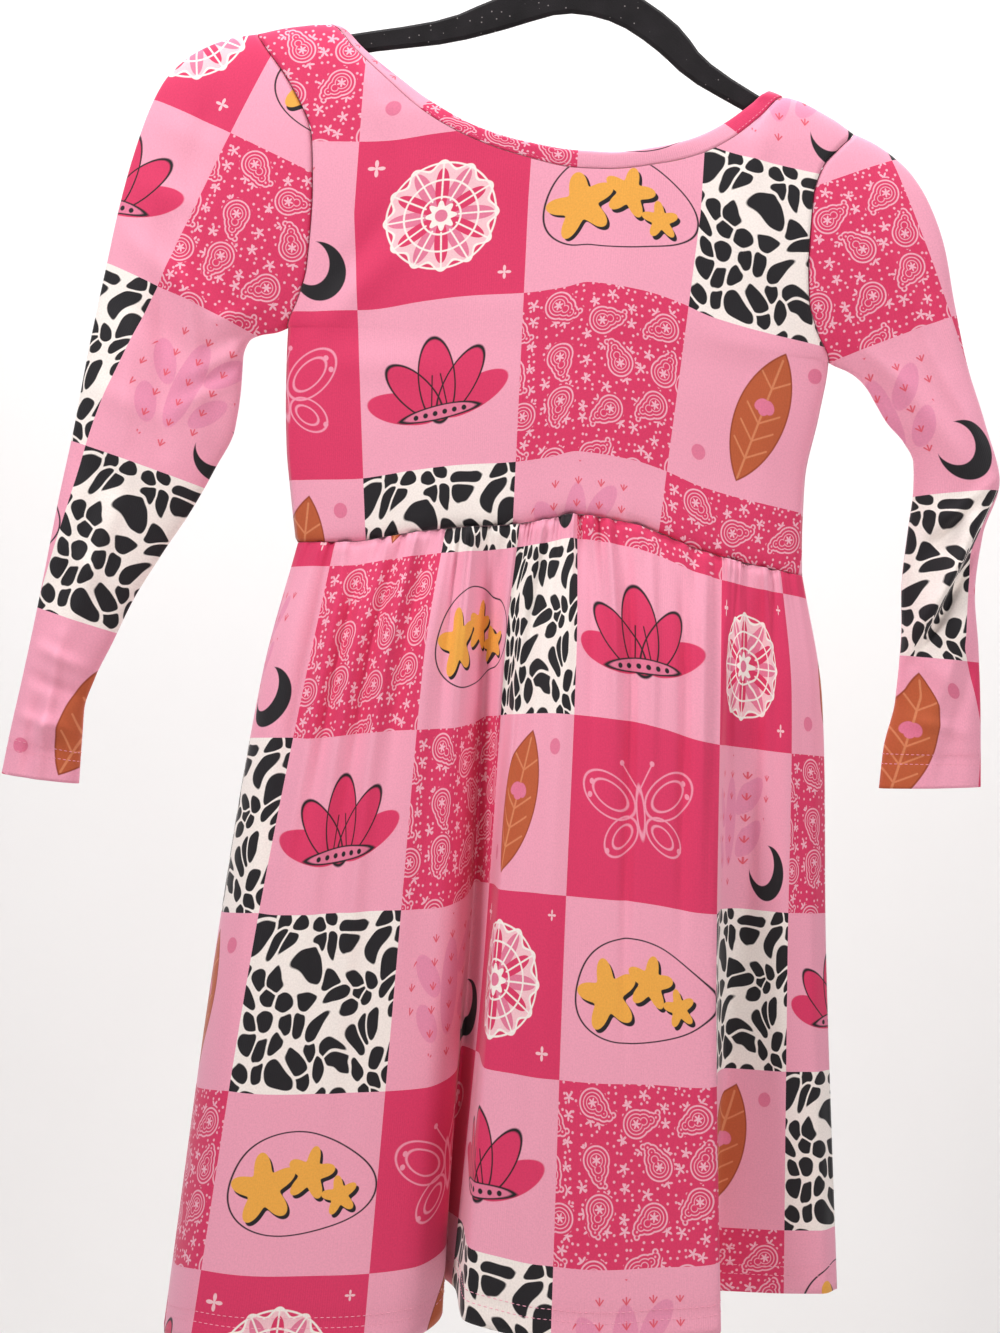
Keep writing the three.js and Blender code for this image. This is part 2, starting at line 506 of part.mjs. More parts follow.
// A sleeve: rings from the armhole to the cuff, each flattened front to back
function sleeve(side, name, sections) {
  const towards = side === 'right' ? -1 : 1;
  const tip = SHOULDER_TIP[side];
  const pit = ARMPIT[side];
  const bow = (share) => armholePoint(side, share).x - mix(tip.x, pit.x, share);
  const ring = (section, share, out) => {
    const round = 2 * Math.sqrt(share * (1 - share));
    if (!section) {
      const seam = armholePoint(side, share);
      const above = armholePoint(side, Math.max(share - 0.01, 0));
      const below = armholePoint(side, Math.min(share + 0.01, 1));
      const lean = Math.atan2(below.x - above.x, above.z - below.z);
      const x = seam.x + (towards * ARMHOLE_GAP) / Math.cos(lean);
      return new THREE.Vector3(x, out * (armholeDepth(share) + (round ? HALF_GAP : 0)), seam.z);
    }
    const x = mix(section.outX, section.inX, share) + bow(share) * section.bow;
    const z = mix(section.outZ, section.inZ, share);
    const fade = 1 - section.bow;
    const rise = clamp(fade, 0, 1) * creaseRise(name, x, z) * round;
    return new THREE.Vector3(x, out * (section.depth * round + rise), z);
  };
  const frontShares = ARMHOLE_ROWS.map((share) => ({ share, out: -1 }));
  const backShares = ARMHOLE_ROWS.slice(1, -1).reverse().map((share) => ({ share, out: 1 }));
  const stations = [...frontShares, ...backShares];
  if (side === 'left') stations.reverse();
  const rows = [null, ...sections].reverse();
  const sheet = stations.map(({ share, out }) => rows.map((section) => ring(section, share, out)));
  const last = rows.length - 1;
  const thickness = (i, j) => (rows[j]?.turned ? TURNED : CLOTH);
  return wall(sheet, thickness, { round: true, hold: (i, j) => (j === last ? 'x' : '') });
}

// Skirt: a gathered panel whose large folds grow from the waist seam to the hem
function skirtPanel(side) {
  const out = side === 'front' ? -1 : 1;
  const folds = SKIRT_FOLDS[side];
  const columns = ['hipX', 'hip', 'thighX', 'thigh', 'hemX', 'hem', 'hemZ'];
  const line = Object.fromEntries(columns.map((column) => [column, curve(folds, 'waistX', column)]));
  const turn = 2 * Math.PI;
  const sideEase = (share) => Math.min(1, SIDE_EASE * share * (1 - share));
  const rippleAt = (share, drop) => {
    const { shift, shiftWaves, jitter, jitterWaves, size, sizeWaves } = GATHER_UNEVEN;
    const near = shift * Math.sin(turn * shiftWaves * share + out);
    const far = jitter * Math.sin(turn * jitterWaves * share);
    const height = GATHER_DEPTH * (1 - size + size * Math.sin(turn * sizeWaves * share + 1));
    const wave = Math.cos(turn * (GATHERS[side] * share + near + far));
    return height * wave * sideEase(share) * Math.exp(-drop / GATHER_REACH);
  };
  const softAt = (x, down, share) => SOFT_FOLDS[side].reduce((sum, fold) => {
    const before = down / fold.peak;
    const after = clamp((fold.end - down) / (fold.end - fold.peak), 0, 1);
    const grow = Math.sin((Math.PI / 2) * Math.min(before, after));
    return sum + fold.rise * sideEase(share) * grow * Math.exp(-(((x - fold.waistX) / fold.width) ** 2));
  }, 0);
  // The bodice's own columns are among the skirt's, so that both follow the same waist line
  const shares = ACROSS.slice(1).reduce((list, share, k) => {
    const from = ACROSS[k];
    const parts = Math.max(1, Math.round((share - from) * SKIRT_COLUMNS[side]));
    for (let n = 1; n <= parts; n += 1) list.push(mix(from, share, n / parts));
    return list;
  }, [0]);
  if (side === 'back') shares.reverse();
  const point = (share, down) => {
    const x0 = waistX(share);
    const top = seamZ(share) - HALF_GAP;
    const z = mix(top, line.hemZ(x0), down);
    const levels = [
      { down: SKIRT_LEVELS.waist, x: x0, depth: waistDepth(share, side) },
      { down: SKIRT_LEVELS.hip, x: line.hipX(x0), depth: line.hip(x0) },
      { down: SKIRT_LEVELS.thigh, x: line.thighX(x0), depth: line.thigh(x0) },
      { down: SKIRT_LEVELS.hem, x: line.hemX(x0), depth: line.hem(x0) },
    ];
    const x = curve(levels, 'down', 'x')(down);
    const depth = curve(levels, 'down', 'depth')(down) + rippleAt(share, top - z) + softAt(x0, down, share);
    return new THREE.Vector3(x, out * Math.max(depth, HALF_GAP), z);
  };
  const rows = [...SKIRT_ROWS].reverse();
  const last = shares.length - 1;
  const top = rows.length - 1;
  const hold = (i, j) => {
    const atSide = i === 0 || i === last;
    if (j === top) return atSide ? 'yz' : 'z';
    return atSide ? 'y' : '';
  };
  const thickness = (i, j) => (rows[j] > HEM_ROW ? TURNED : CLOTH);
  return wall(shares.map((share) => rows.map((down) => point(share, down))), thickness, { hold });
}

// Hanger: a flat board with round ends and eased edges, and a wire hook
function hangerBody() {
  const line = HANGER_LINE.map((row) => new THREE.Vector3(row.x, 0, row.z));
  const spine = new THREE.CatmullRomCurve3(line, false, 'centripetal');
  const half = curve(HANGER_LINE, 'x', 'half');
  const upper = [];
  const lower = [];
  for (let k = 0; k <= HANGER.stations; k += 1) {
    const at = spine.getPoint(k / HANGER.stations);
    const way = spine.getTangent(k / HANGER.stations);
    const h = half(at.x);
    upper.push(new THREE.Vector2(at.x - way.z * h, at.z + way.x * h));
    lower.push(new THREE.Vector2(at.x + way.z * h, at.z - way.x * h));
  }
  const cap = (row, way) => {
    const turn = Math.atan2(way.z, way.x);
    return [-60, -30, 0, 30, 60].map((degrees) => {
      const angle = turn + THREE.MathUtils.degToRad(degrees);
      return new THREE.Vector2(row.x + row.half * Math.cos(angle), row.z + row.half * Math.sin(angle));
    });
  };
  const rightCap = cap(HANGER_LINE[HANGER_LINE.length - 1], spine.getTangent(1));
  const leftCap = cap(HANGER_LINE[0], spine.getTangent(0).negate());
  const outline = [...lower, ...rightCap, ...[...upper].reverse(), ...leftCap];
  const geometry = new THREE.ExtrudeGeometry(new THREE.Shape(outline), {
    depth: HANGER.thickness - 2 * HANGER.bevel,
    bevelEnabled: true,
    bevelSize: HANGER.bevel,
    bevelThickness: HANGER.bevel,
    bevelOffset: -HANGER.bevel,
    bevelSegments: 1,
  });
  geometry.translate(0, 0, HANGER.bevel - HANGER.thickness / 2);
  geometry.rotateX(Math.PI / 2);
  return geometry;
}

function hangerHook() {
  const radius = HOOK.inside + HOOK.wire;
  const shank = SHANK.map((row) => new THREE.Vector3(row.x, 0, row.z));
  const loop = [];
  for (let degrees = HOOK.startAngle; degrees <= HOOK.endAngle; degrees += HOOK.step) {
    const angle = THREE.MathUtils.degToRad(degrees);
    loop.push(new THREE.Vector3(radius * Math.cos(angle), 0, -HOOK.inside + radius * Math.sin(angle)));
  }
  const section = new THREE.Shape().absarc(0, 0, HOOK.wire, 0, 2 * Math.PI);
  return new THREE.ExtrudeGeometry(section, {
    curveSegments: 5,
    steps: 32,
    extrudePath: new THREE.CatmullRomCurve3([...shank, ...loop], false, 'centripetal'),
  });
}

const dress = new THREE.Group();
dress.add(piece('bodice_front', bodicePanel('front'), MATERIALS.cloth));
dress.add(piece('bodice_back', bodicePanel('back'), MATERIALS.cloth));
dress.add(piece('skirt_front', skirtPanel('front'), MATERIALS.cloth));
dress.add(piece('skirt_back', skirtPanel('back'), MATERIALS.cloth));
dress.add(piece('sleeve_right', sleeve('right', 'sleeve_right', RIGHT_SLEEVE), MATERIALS.cloth));
dress.add(piece('sleeve_left', sleeve('left', 'sleeve_left', LEFT_SLEEVE), MATERIALS.cloth));
dress.add(piece('neck_binding', neckBinding(), MATERIALS.binding));
dress.add(piece('hanger_body', hangerBody(), MATERIALS.flock));
dress.add(piece('hanger_hook', hangerHook(), MATERIALS.wire));

export default dress;
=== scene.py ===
# %% [markdown]
# # A long sleeve dress on its hanger
# The dress is a child's size, in a thin printed stretch knit. It hangs flat on a slim hanger, and
# its weight pulls the skirt into deep soft folds. The imported model is loaded first: it says where
# every piece lies. What only the cloth has, such as its small creases, is set here.

# %% Frame
import math
import random

import bmesh
import bpy
from mathutils import Matrix, Vector


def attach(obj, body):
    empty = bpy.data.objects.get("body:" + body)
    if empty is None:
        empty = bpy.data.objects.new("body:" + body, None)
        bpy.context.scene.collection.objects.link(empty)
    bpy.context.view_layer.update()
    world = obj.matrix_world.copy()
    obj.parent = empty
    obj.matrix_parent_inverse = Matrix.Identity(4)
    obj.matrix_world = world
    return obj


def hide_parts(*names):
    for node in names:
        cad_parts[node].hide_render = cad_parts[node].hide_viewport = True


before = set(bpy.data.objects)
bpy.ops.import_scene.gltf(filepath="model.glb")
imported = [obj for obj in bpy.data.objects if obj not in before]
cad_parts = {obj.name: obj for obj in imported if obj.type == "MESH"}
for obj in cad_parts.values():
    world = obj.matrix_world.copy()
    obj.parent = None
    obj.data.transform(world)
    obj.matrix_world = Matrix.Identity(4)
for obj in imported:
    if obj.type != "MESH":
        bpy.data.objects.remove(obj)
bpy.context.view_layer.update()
print("packed nodes:", sorted(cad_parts))

# %% [markdown]
# ## Camera
# The view is level, and tilted by four degrees as the hang of the dress suggests. Its distance isn't
# known: 1.15 m is a middle value, and the field of view follows from it and the size of the dress.
# From so near, the folds that stand forward look larger than the side seams.

# %% Camera
SENSOR, FIELD_OF_VIEW, TILT = 24, 37.6, -4
lens = bpy.data.cameras.new("level_view")
lens.sensor_fit = "VERTICAL"
lens.sensor_height = SENSOR
lens.lens = SENSOR / 2 / math.tan(math.radians(FIELD_OF_VIEW) / 2)
camera = bpy.data.objects.new("level_view", lens)
camera.location = (-0.024, -1.150, -0.5003)
camera.rotation_euler = (math.radians(90), math.radians(TILT), 0)
bpy.context.collection.objects.link(camera)
bpy.context.scene.camera = camera
print("lens in mm:", round(lens.lens, 2))

# %% [markdown]
# ## Smooth lines through a few measured rows
# A pattern cutter measures a garment at a few heights and draws a smooth line between them. This
# does the same: a short table of rows goes in, and a curve that makes no hump of its own comes out.
# Sizes are in millimetres until the last step, because a dressmaker thinks in them.

# %% Curves
MM = 0.001


def mix(a, b, t):
    return a + (b - a) * t


def clamp(value, low, high):
    return min(high, max(low, value))


def curve(rows, at=0, value=1):
    """A smooth function through two columns of a table."""
    xs, ys = [row[at] for row in rows], [row[value] for row in rows]
    last = len(xs) - 1
    rise = [(ys[i + 1] - ys[i]) / (xs[i + 1] - xs[i]) for i in range(last)]
    slope = [rise[0]]
    for before, after in zip(rise, rise[1:]):
        slope.append(2 * before * after / (before + after) if before * after > 0 else 0)
    slope.append(rise[-1])

    def read(x):
        x = clamp(x, xs[0], xs[last])
        i = 0
        while i < last - 1 and x > xs[i + 1]:
            i += 1
        w = xs[i + 1] - xs[i]
        t = (x - xs[i]) / w
        low = (1 + 2 * t) * (1 - t) ** 2 * ys[i] + t * (1 - t) ** 2 * w * slope[i]
        return low + t * t * (3 - 2 * t) * ys[i + 1] + t * t * (t - 1) * w * slope[i + 1]

    return read


def near(distance, width):
    """1 on a line, falling softly to 0 away from it."""
    return math.exp(-((distance / width) ** 2))


# %% [markdown]
# ## The garment's sizes
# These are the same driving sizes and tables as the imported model's, so the cloth lies on its form.
# Left and right are the wearer's, so the right sleeve is on the viewer's left, at minus X.

# %% Sizes
SEAM_GAP = 0.3
HALF_GAP = SEAM_GAP / 2
BAND_GAP, CORNER_GAP, ARMHOLE_GAP = 0.5, 1.1, 0.4
ARM_CLEAR, ARM_CLEAR_SLOPE = 5.6, 1.5
ARMHOLE_DEPTH, SHOULDER_ROUND, SIDE_ROUND = 16, 60, 2.6
TIP = {"right": (-192, -140), "left": (161, -174)}
ARMPIT = {"right": (-161, -311), "left": (156, -309)}
WAIST_SIDE = (-147.5, 149.5)
NECK_CORNER = (-150, 119)

# height, right edge, left edge, depth to the front, depth to the back
BODICE_SECTIONS = [
    (-440, -148, 149.5, 24, 21), (-409, -153.5, 147.5, 24, 21), (-381, -158, 147, 23, 20),
    (-343, -161, 152.5, 23, 20), (-311, -162, 156, 22, 19), (-294, -156, 147, 22, 19),
    (-276, -152, 140, 21, 18), (-244, -151, 137.5, 19, 17), (-216, -152.5, 138, 18, 16),
    (-197, -155, 143, 17, 16), (-184, -161, 153, 17, 15), (-174, -167, 161, 16, 15),
    (-165, -173, 162, 16, 15), (-150, -185, 163, 16, 15), (-140, -192, 164, 15, 15),
    (-130, -197, 165, 15, 15),
]
# x and height of the shoulders and the neckline
TOP_LINE = [
    (-192, -140), (-172, -134.5), (-150, -131.5), (-133, -147.5), (-115, -163), (-88, -184),
    (-61, -196.5), (-35, -204), (0, -209.5), (17, -209), (51, -202.7), (71, -196), (89, -185),
    (105, -170), (119, -155.5), (147, -165.5), (161, -174),
]
# x on the neckline, then x, height and lean of the binding's free edge
BINDING_EDGE = [
    (-150, -142, -132, 0), (-133, -126.5, -147, 1.5), (-115, -108.5, -160, 4),
    (-88, -83, -177, 3), (-61, -58, -189, 1), (-35, -33, -195.5, 0), (0, 0, -199, 0),
    (17, 17, -198.8, 0), (51, 48, -193, 0), (71, 66, -186.5, 1), (89, 80.5, -178, 2),
    (105, 96, -165, 1.5), (119, 109, -151.8, 0),
]
# x and height of the waist seam
WAIST_LINE = [
    (-147.5, -436), (-115, -434), (-82, -427), (-55, -422), (-25, -418.5), (-2, -413.5),
    (12, -409.5), (42, -412), (63, -417), (84, -424.5), (117, -431), (149.5, -435),
]

edge_at = {"right": curve(BODICE_SECTIONS, 0, 1), "left": curve(BODICE_SECTIONS, 0, 2)}
depth_at = {"front": curve(BODICE_SECTIONS, 0, 3), "back": curve(BODICE_SECTIONS, 0, 4)}
top_z, waist_z = curve(TOP_LINE), curve(WAIST_LINE)
OUT = {"front": -1, "back": 1}
print("chest, side seam to side seam, in mm:", edge_at["left"](-311) - edge_at["right"](-311))

# %% [markdown]
# ## Colours
# Colours are picked as sRGB hex values, as on a paint card. A shader works in linear light, so one
# function turns them.

# %% Colours


def srgb(code):
    """A hex colour as a linear RGBA value."""
    parts = [int(code[i:i + 2], 16) / 255 for i in (1, 3, 5)]
    return [c / 12.92 if c <= 0.04045 else ((c + 0.055) / 1.055) ** 2.4 for c in parts] + [1]


PALE_PINK, HOT_PINK, GHOST_PINK = srgb("#F4A6BF"), srgb("#DD3566"), srgb("#EA93B4")
CORAL, TERRACOTTA, RUST = srgb("#E2566A"), srgb("#BE5C34"), srgb("#9C4423")
GOLD, INK, CREAM = srgb("#F2AE48"), srgb("#17151B"), srgb("#FBF3EE")
BLUSH, ROSE, VEIN = srgb("#F8C9D2"), srgb("#E57B9C"), srgb("#D9865C")
BANDANA_PINK, WING_PINK = srgb("#F6B9CB"), srgb("#F39DB6")


def add(tree, kind, links=None, out=0, **settings):
    """Adds a node. links maps an input's number or name to a socket or a value."""
    made = tree.nodes.new(kind)
    for name, value in settings.items():
        setattr(made, name, value)
    for key, value in (links or {}).items():
        if isinstance(value, bpy.types.NodeSocket):
            tree.links.new(value, made.inputs[key])
        else:
            made.inputs[key].default_value = value
    return made.outputs[out]


def sums(tree, operation, *values, **settings):
    """A node that does one sum on numbers."""
    return add(tree, "ShaderNodeMath", dict(enumerate(values)), operation=operation, **settings)


def vectors(tree, operation, *values, scale=None, out=0):
    """A node that does one sum on places or colours."""
    links = dict(enumerate(values))
    if scale is not None:
        links["Scale"] = scale
    return add(tree, "ShaderNodeVectorMath", links, out=out, operation=operation)


# %% [markdown]
# ## Shapes of the print
# A printed motif is flat ink on cloth, so it is drawn in the colour alone. Each shape is worked out
# by a few nodes from the place on the flat cloth, in millimetres from the middle of a square: how
# far a point lies inside the shape, turned into a mask with an edge as soft as ink on knit.

# %% Shapes
INK_EDGE = 0.45


def mask(tree, inside):
    """1 where the distance inside a shape is above 0, with a soft edge."""
    scaled = sums(tree, "MULTIPLY", inside, 1 / INK_EDGE)
    return sums(tree, "ADD", scaled, 0.5, use_clamp=True)


def placed(tree, spot, x, y, turn=0, wide=1, high=1):
    """The place on the cloth, seen from a motif that is moved, turned and stretched."""
    return add(tree, "ShaderNodeMapping", {
        "Vector": spot, "Location": (x, y, 0), "Rotation": (0, 0, math.radians(turn)),
        "Scale": (wide, high, 1)}, vector_type="TEXTURE")


def round_off(tree, spot, size):
    """How far a point lies inside a circle of radius 1 that stands for that size."""
    away = vectors(tree, "LENGTH", spot, out="Value")
    left = sums(tree, "SUBTRACT", 1.0, away)
    return sums(tree, "MULTIPLY", left, size)


def oval(tree, spot, x, y, wide, high, turn=0):
    return round_off(tree, placed(tree, spot, x, y, turn, wide, high), min(wide, high))


def line_of(tree, inside, width):
    """Only the outline of a shape, as a line of that width."""
    away = sums(tree, "ABSOLUTE", inside)
    return sums(tree, "SUBTRACT", width / 2, away)


def stroke(tree, spot, x0, y0, x1, y1, width):
    """A straight line with round ends."""
    run = Vector((x1 - x0, y1 - y0, 0))
    start = vectors(tree, "SUBTRACT", spot, (x0, y0, 0))
    share = vectors(tree, "DOT_PRODUCT", start, run / run.length_squared, out="Value")
    share = sums(tree, "MULTIPLY", share, 1.0, use_clamp=True)
    foot = vectors(tree, "SCALE", run, scale=share)
    away = vectors(tree, "DISTANCE", start, foot, out="Value")
    return sums(tree, "SUBTRACT", width / 2, away)


def petals(tree, spot, count, radius, cut, turn=0):
    """A flower or star: a circle whose edge swings in and out count times."""
    parts = tree.nodes.new("ShaderNodeSeparateXYZ")
    tree.links.new(spot, parts.inputs[0])
    angle = sums(tree, "ARCTAN2", parts.outputs[1], parts.outputs[0])
    wave = sums(tree, "MULTIPLY_ADD", angle, float(count), math.radians(turn))
    wave = sums(tree, "COSINE", wave)
    edge = sums(tree, "MULTIPLY_ADD", wave, radius * cut / 2, radius * (1 - cut / 2))
    away = vectors(tree, "LENGTH", spot, out="Value")
    return sums(tree, "SUBTRACT", edge, away)


def either(tree, *insides):
    """Several shapes as one."""
    whole = insides[0]
    for other in insides[1:]:
        whole = sums(tree, "MAXIMUM", whole, other)
    return whole


def without(tree, inside, hole):
    other = sums(tree, "MULTIPLY", hole, -1.0)
    return sums(tree, "MINIMUM", inside, other)


def within(tree, inside, limit):
    return sums(tree, "MINIMUM", inside, limit)


def ink(tree, ground, inside, colour):
    """Prints a shape on the ground in one colour."""
    return add(tree, "ShaderNodeMix", {0: mask(tree, inside), 6: ground, 7: colour},
               out=2, data_type="RGBA")


# %% [markdown]
# ## Motifs
# The cloth is a check of squares close to four inches, half of them pale and half of them bright.
# Each square holds one ordinary motif: a sprig with a moon, a leaf, a lotus, a cluster of stars, a
# rosette or a butterfly, or an all-over bandana or cow-spot pattern. A function draws each.

# %% Pale squares


def sprig(tree, spot):
    leaves = [oval(tree, spot, x, y, wide, high, turn) for x, y, wide, high, turn in (
        (-8, 4, 8, 27, 0), (-26, 12, 6.5, 14, 35), (9, 20, 6.5, 14, -35),
        (-25, -14, 6, 12, 30), (10, -6, 6, 13, -30))]
    paint = ink(tree, PALE_PINK, either(tree, *leaves), GHOST_PINK)
    # Small three-line marks on a staggered lattice
    rows = vectors(tree, "DIVIDE", spot, (15.0, 13.0, 1.0))
    cell = vectors(tree, "FRACTION", rows)
    cell = vectors(tree, "SUBTRACT", cell, (0.5, 0.5, 0))
    cell = vectors(tree, "MULTIPLY", cell, (15.0, 13.0, 0))
    ticks = either(tree, *(stroke(tree, cell, 0, -2, x, y, 0.8) for x, y in ((-2, 0.8), (0, 1.8), (2, 0.8))))
    field = either(tree, oval(tree, spot, -9, 4, 30, 40), oval(tree, spot, 22, 22, 12, 12))
    paint = ink(tree, paint, within(tree, ticks, field), CORAL)
    moon = without(tree, oval(tree, spot, 27, -26, 16, 17), oval(tree, spot, 22, -21, 11.5, 13))
    return ink(tree, paint, moon, INK)


def leaf(tree, spot):
    turned = placed(tree, spot, 4, 0, -12)
    # Two wide circles overlap in the form of a leaf
    body = within(tree, oval(tree, turned, -28, 0, 44, 52), oval(tree, turned, 28, 0, 44, 52))
    paint = ink(tree, PALE_PINK, body, TERRACOTTA)
    veins = [stroke(tree, turned, 0, y, side * 11, y + 9, 1.1)
             for y in (-26, -15, -4, 18) for side in (-1, 1)]
    veins.append(stroke(tree, turned, 0, -46, 0, 36, 1.4))
    paint = ink(tree, paint, within(tree, either(tree, *veins), body), VEIN)
    paint = ink(tree, paint, line_of(tree, body, 0.9), RUST)
    heart = either(tree, oval(tree, turned, -2.5, 7, 4.4, 3.4, 45), oval(tree, turned, 2.5, 7, 4.4, 3.4, -45),
                   oval(tree, turned, 0, 4.6, 3.4, 3.4))
    paint = ink(tree, paint, heart, ROSE)
    buds = either(tree, oval(tree, spot, -31, -30, 4.5, 4.5), oval(tree, spot, 33, 31, 4.5, 4.5))
    return ink(tree, paint, buds, ROSE)


def lotus(tree, spot):
    low = placed(tree, spot, 0, -17, 6)
    outer = [oval(tree, low, x, y, 9, 23, turn)
             for x, y, turn in ((-22, 7, 68), (22, 7, -68), (-14, 15, 38), (14, 15, -38))]
    middle = oval(tree, low, 0, 19, 11, 25)
    paint = ink(tree, PALE_PINK, either(tree, middle, *outer), HOT_PINK)
    edges = [line_of(tree, petal, 0.9) for petal in outer[2:]]
    edges.append(line_of(tree, middle, 0.9))
    edges += [stroke(tree, low, x, 2, x * 0.5, 22, 0.8) for x in (-5, 5)]
    paint = ink(tree, paint, either(tree, *edges), INK)
    base = within(tree, oval(tree, low, 0, 1, 25, 5), oval(tree, low, 0, -1, 25, 5))
    paint = ink(tree, paint, base, ROSE)
    dots = [oval(tree, low, x, -0.3, 1.5, 1.5) for x in (-15, -9, -3, 3, 9, 15)]
    return ink(tree, paint, either(tree, line_of(tree, base, 0.8), *dots), INK)


def stars(tree, spot):
    places = ((-19, -2, 20, 12), (8, 6, 15, -8), (27, -6, 11, 14))
    loop = petals(tree, placed(tree, spot, 2, 0, 0, 1.3, 0.82), 3, 36, 0.12, 30)
    paint = ink(tree, PALE_PINK, line_of(tree, loop, 0.9), INK)
    for dx, dy, colour in ((1.8, -1.8, INK), (0, 0, GOLD)):
        group = [petals(tree, placed(tree, spot, x + dx, y + dy, turn), 5, size, 0.5, -90)
                 for x, y, size, turn in places]
        paint = ink(tree, paint, either(tree, *group), colour)
    return paint


# %% Bright squares


def scattered(tree, spot, size, loose):
    """A place seen from the nearest of a loose scatter of points, turned its own way."""
    cells = add(tree, "ShaderNodeTexVoronoi", {
        "Vector": spot, "Scale": 1 / size, "Randomness": loose}, voronoi_dimensions="2D", out="Position")
    colour = add(tree, "ShaderNodeTexVoronoi", {
        "Vector": spot, "Scale": 1 / size, "Randomness": loose}, voronoi_dimensions="2D", out="Color")
    local = vectors(tree, "SUBTRACT", spot, cells)
    flat = vectors(tree, "MULTIPLY", local, (1, 1, 0))
    chance = add(tree, "ShaderNodeSeparateColor", {0: colour})
    angle = sums(tree, "MULTIPLY", chance, 6.28)
    return add(tree, "ShaderNodeVectorRotate", {"Vector": flat, "Angle": angle}, rotation_type="Z_AXIS")


def bandana(tree, spot):
    # Curled drops, each with an inner line and a flower, then small flowers and dots between them
    drop = scattered(tree, spot, 28, 0.4)
    parts = []
    for x, y, radius in ((0, -3.4, 7.6), (1.4, 1.2, 6.0), (3.3, 5.0, 4.1), (3.8, 8.4, 2.4), (2.3, 10.8, 1.3)):
        away = vectors(tree, "DISTANCE", drop, (x, y, 0), out="Value")
        parts.append(sums(tree, "SUBTRACT", radius, away))
    body = either(tree, *parts)
    inner = sums(tree, "SUBTRACT", body, 2.1)
    core = sums(tree, "SUBTRACT", body, 4.0)
    eye = petals(tree, placed(tree, drop, 0, -3.4), 6, 2.8, 0.6)
    lines = either(tree, line_of(tree, body, 0.9), line_of(tree, inner, 0.6), line_of(tree, core, 0.5), eye)
    outside = sums(tree, "MULTIPLY_ADD", body, -1.0, -1.6)
    bloom = within(tree, petals(tree, scattered(tree, spot, 12, 0.7), 5, 3.3, 0.75), outside)
    fine = add(tree, "ShaderNodeTexVoronoi", {
        "Vector": spot, "Scale": 1 / 5.2, "Randomness": 0.7}, voronoi_dimensions="2D", out="Distance")
    specks = sums(tree, "MULTIPLY_ADD", fine, -5.2, 0.75)
    return ink(tree, HOT_PINK, either(tree, lines, bloom, within(tree, specks, outside)), BANDANA_PINK)


def cow_spots(tree, spot):
    # A loose honeycomb with its corners rounded off. Low noise bends it, so that no two are alike
    for reach, push in ((1 / 33, 34.0), (1 / 9, 3.5)):
        wander = add(tree, "ShaderNodeTexNoise", {"Vector": spot, "Scale": reach, "Detail": 0.0}, out="Color")
        away = vectors(tree, "SUBTRACT", wander, (0.5, 0.5, 0.5))
        away = vectors(tree, "SCALE", away, scale=push)
        spot = vectors(tree, "ADD", spot, away)
    size = 13.5
    settings = {"Vector": spot, "Scale": 1 / size, "Randomness": 0.6}
    centre = add(tree, "ShaderNodeTexVoronoi", settings, voronoi_dimensions="2D", feature="F1")
    edge = add(tree, "ShaderNodeTexVoronoi", settings, voronoi_dimensions="2D", feature="DISTANCE_TO_EDGE")
    inside = sums(tree, "MULTIPLY_ADD", edge, size, -0.8)
    round_ends = sums(tree, "MULTIPLY_ADD", centre, -size, 6.3)
    inside = sums(tree, "SMOOTH_MIN", inside, round_ends, 2.0)
    return ink(tree, CREAM, inside, INK)


def rosette(tree, spot):
    paint = ink(tree, HOT_PINK, petals(tree, spot, 12, 33, 0.14), CREAM)
    paint = ink(tree, paint, petals(tree, spot, 12, 31.6, 0.15), BLUSH)
    paint = ink(tree, paint, petals(tree, spot, 6, 30, 0.95), ROSE)
    paint = ink(tree, paint, petals(tree, spot, 6, 28, 0.95, 180), HOT_PINK)
    for radius in (31, 21, 11):
        paint = ink(tree, paint, line_of(tree, oval(tree, spot, 0, 0, radius, radius), 1.1), CREAM)
    spokes = [stroke(tree, spot, 10 * math.cos(a), 10 * math.sin(a), 31 * math.cos(a), 31 * math.sin(a), 1.0)
              for a in (math.pi * k / 6 for k in range(12))]
    paint = ink(tree, paint, either(tree, *spokes), CREAM)
    paint = ink(tree, paint, petals(tree, spot, 8, 9, 0.35), CREAM)
    paint = ink(tree, paint, oval(tree, spot, 0, 0, 3.6, 3.6), ROSE)
    sparks = [petals(tree, placed(tree, spot, x, y), 4, size, 0.85)
              for x, y, size in ((-38, 33, 5), (37, -36, 4), (39, 38, 3))]
    return ink(tree, paint, either(tree, *sparks), BLUSH)


def butterfly(tree, spot):
    sides = vectors(tree, "ABSOLUTE", placed(tree, spot, 0, 0, 7))
    upright = vectors(tree, "MULTIPLY", placed(tree, spot, 0, 0, 7), (0, 1, 0))
    half = vectors(tree, "MULTIPLY_ADD", sides, (1, 0, 0), upright)
    shapes = [line_of(tree, oval(tree, half, x, y, wide, high, turn), 0.9) for x, y, wide, high, turn in (
        (20, 10, 19, 11, 33), (19, 10, 13, 6.5, 33), (14, -13, 13, 8.5, -40),
        (13, -13, 8, 4.5, -40), (0, 0, 2.4, 13, 0))]
    shapes.append(stroke(tree, half, 1, 13, 9, 26, 0.8))
    shapes.append(oval(tree, half, 9.5, 27, 1.5, 1.5))
    shapes += [oval(tree, half, x, y, 1.6, 1.6) for x, y in ((31, 18), (33, 11), (24, -20))]
    return ink(tree, HOT_PINK, either(tree, *shapes), WING_PINK)


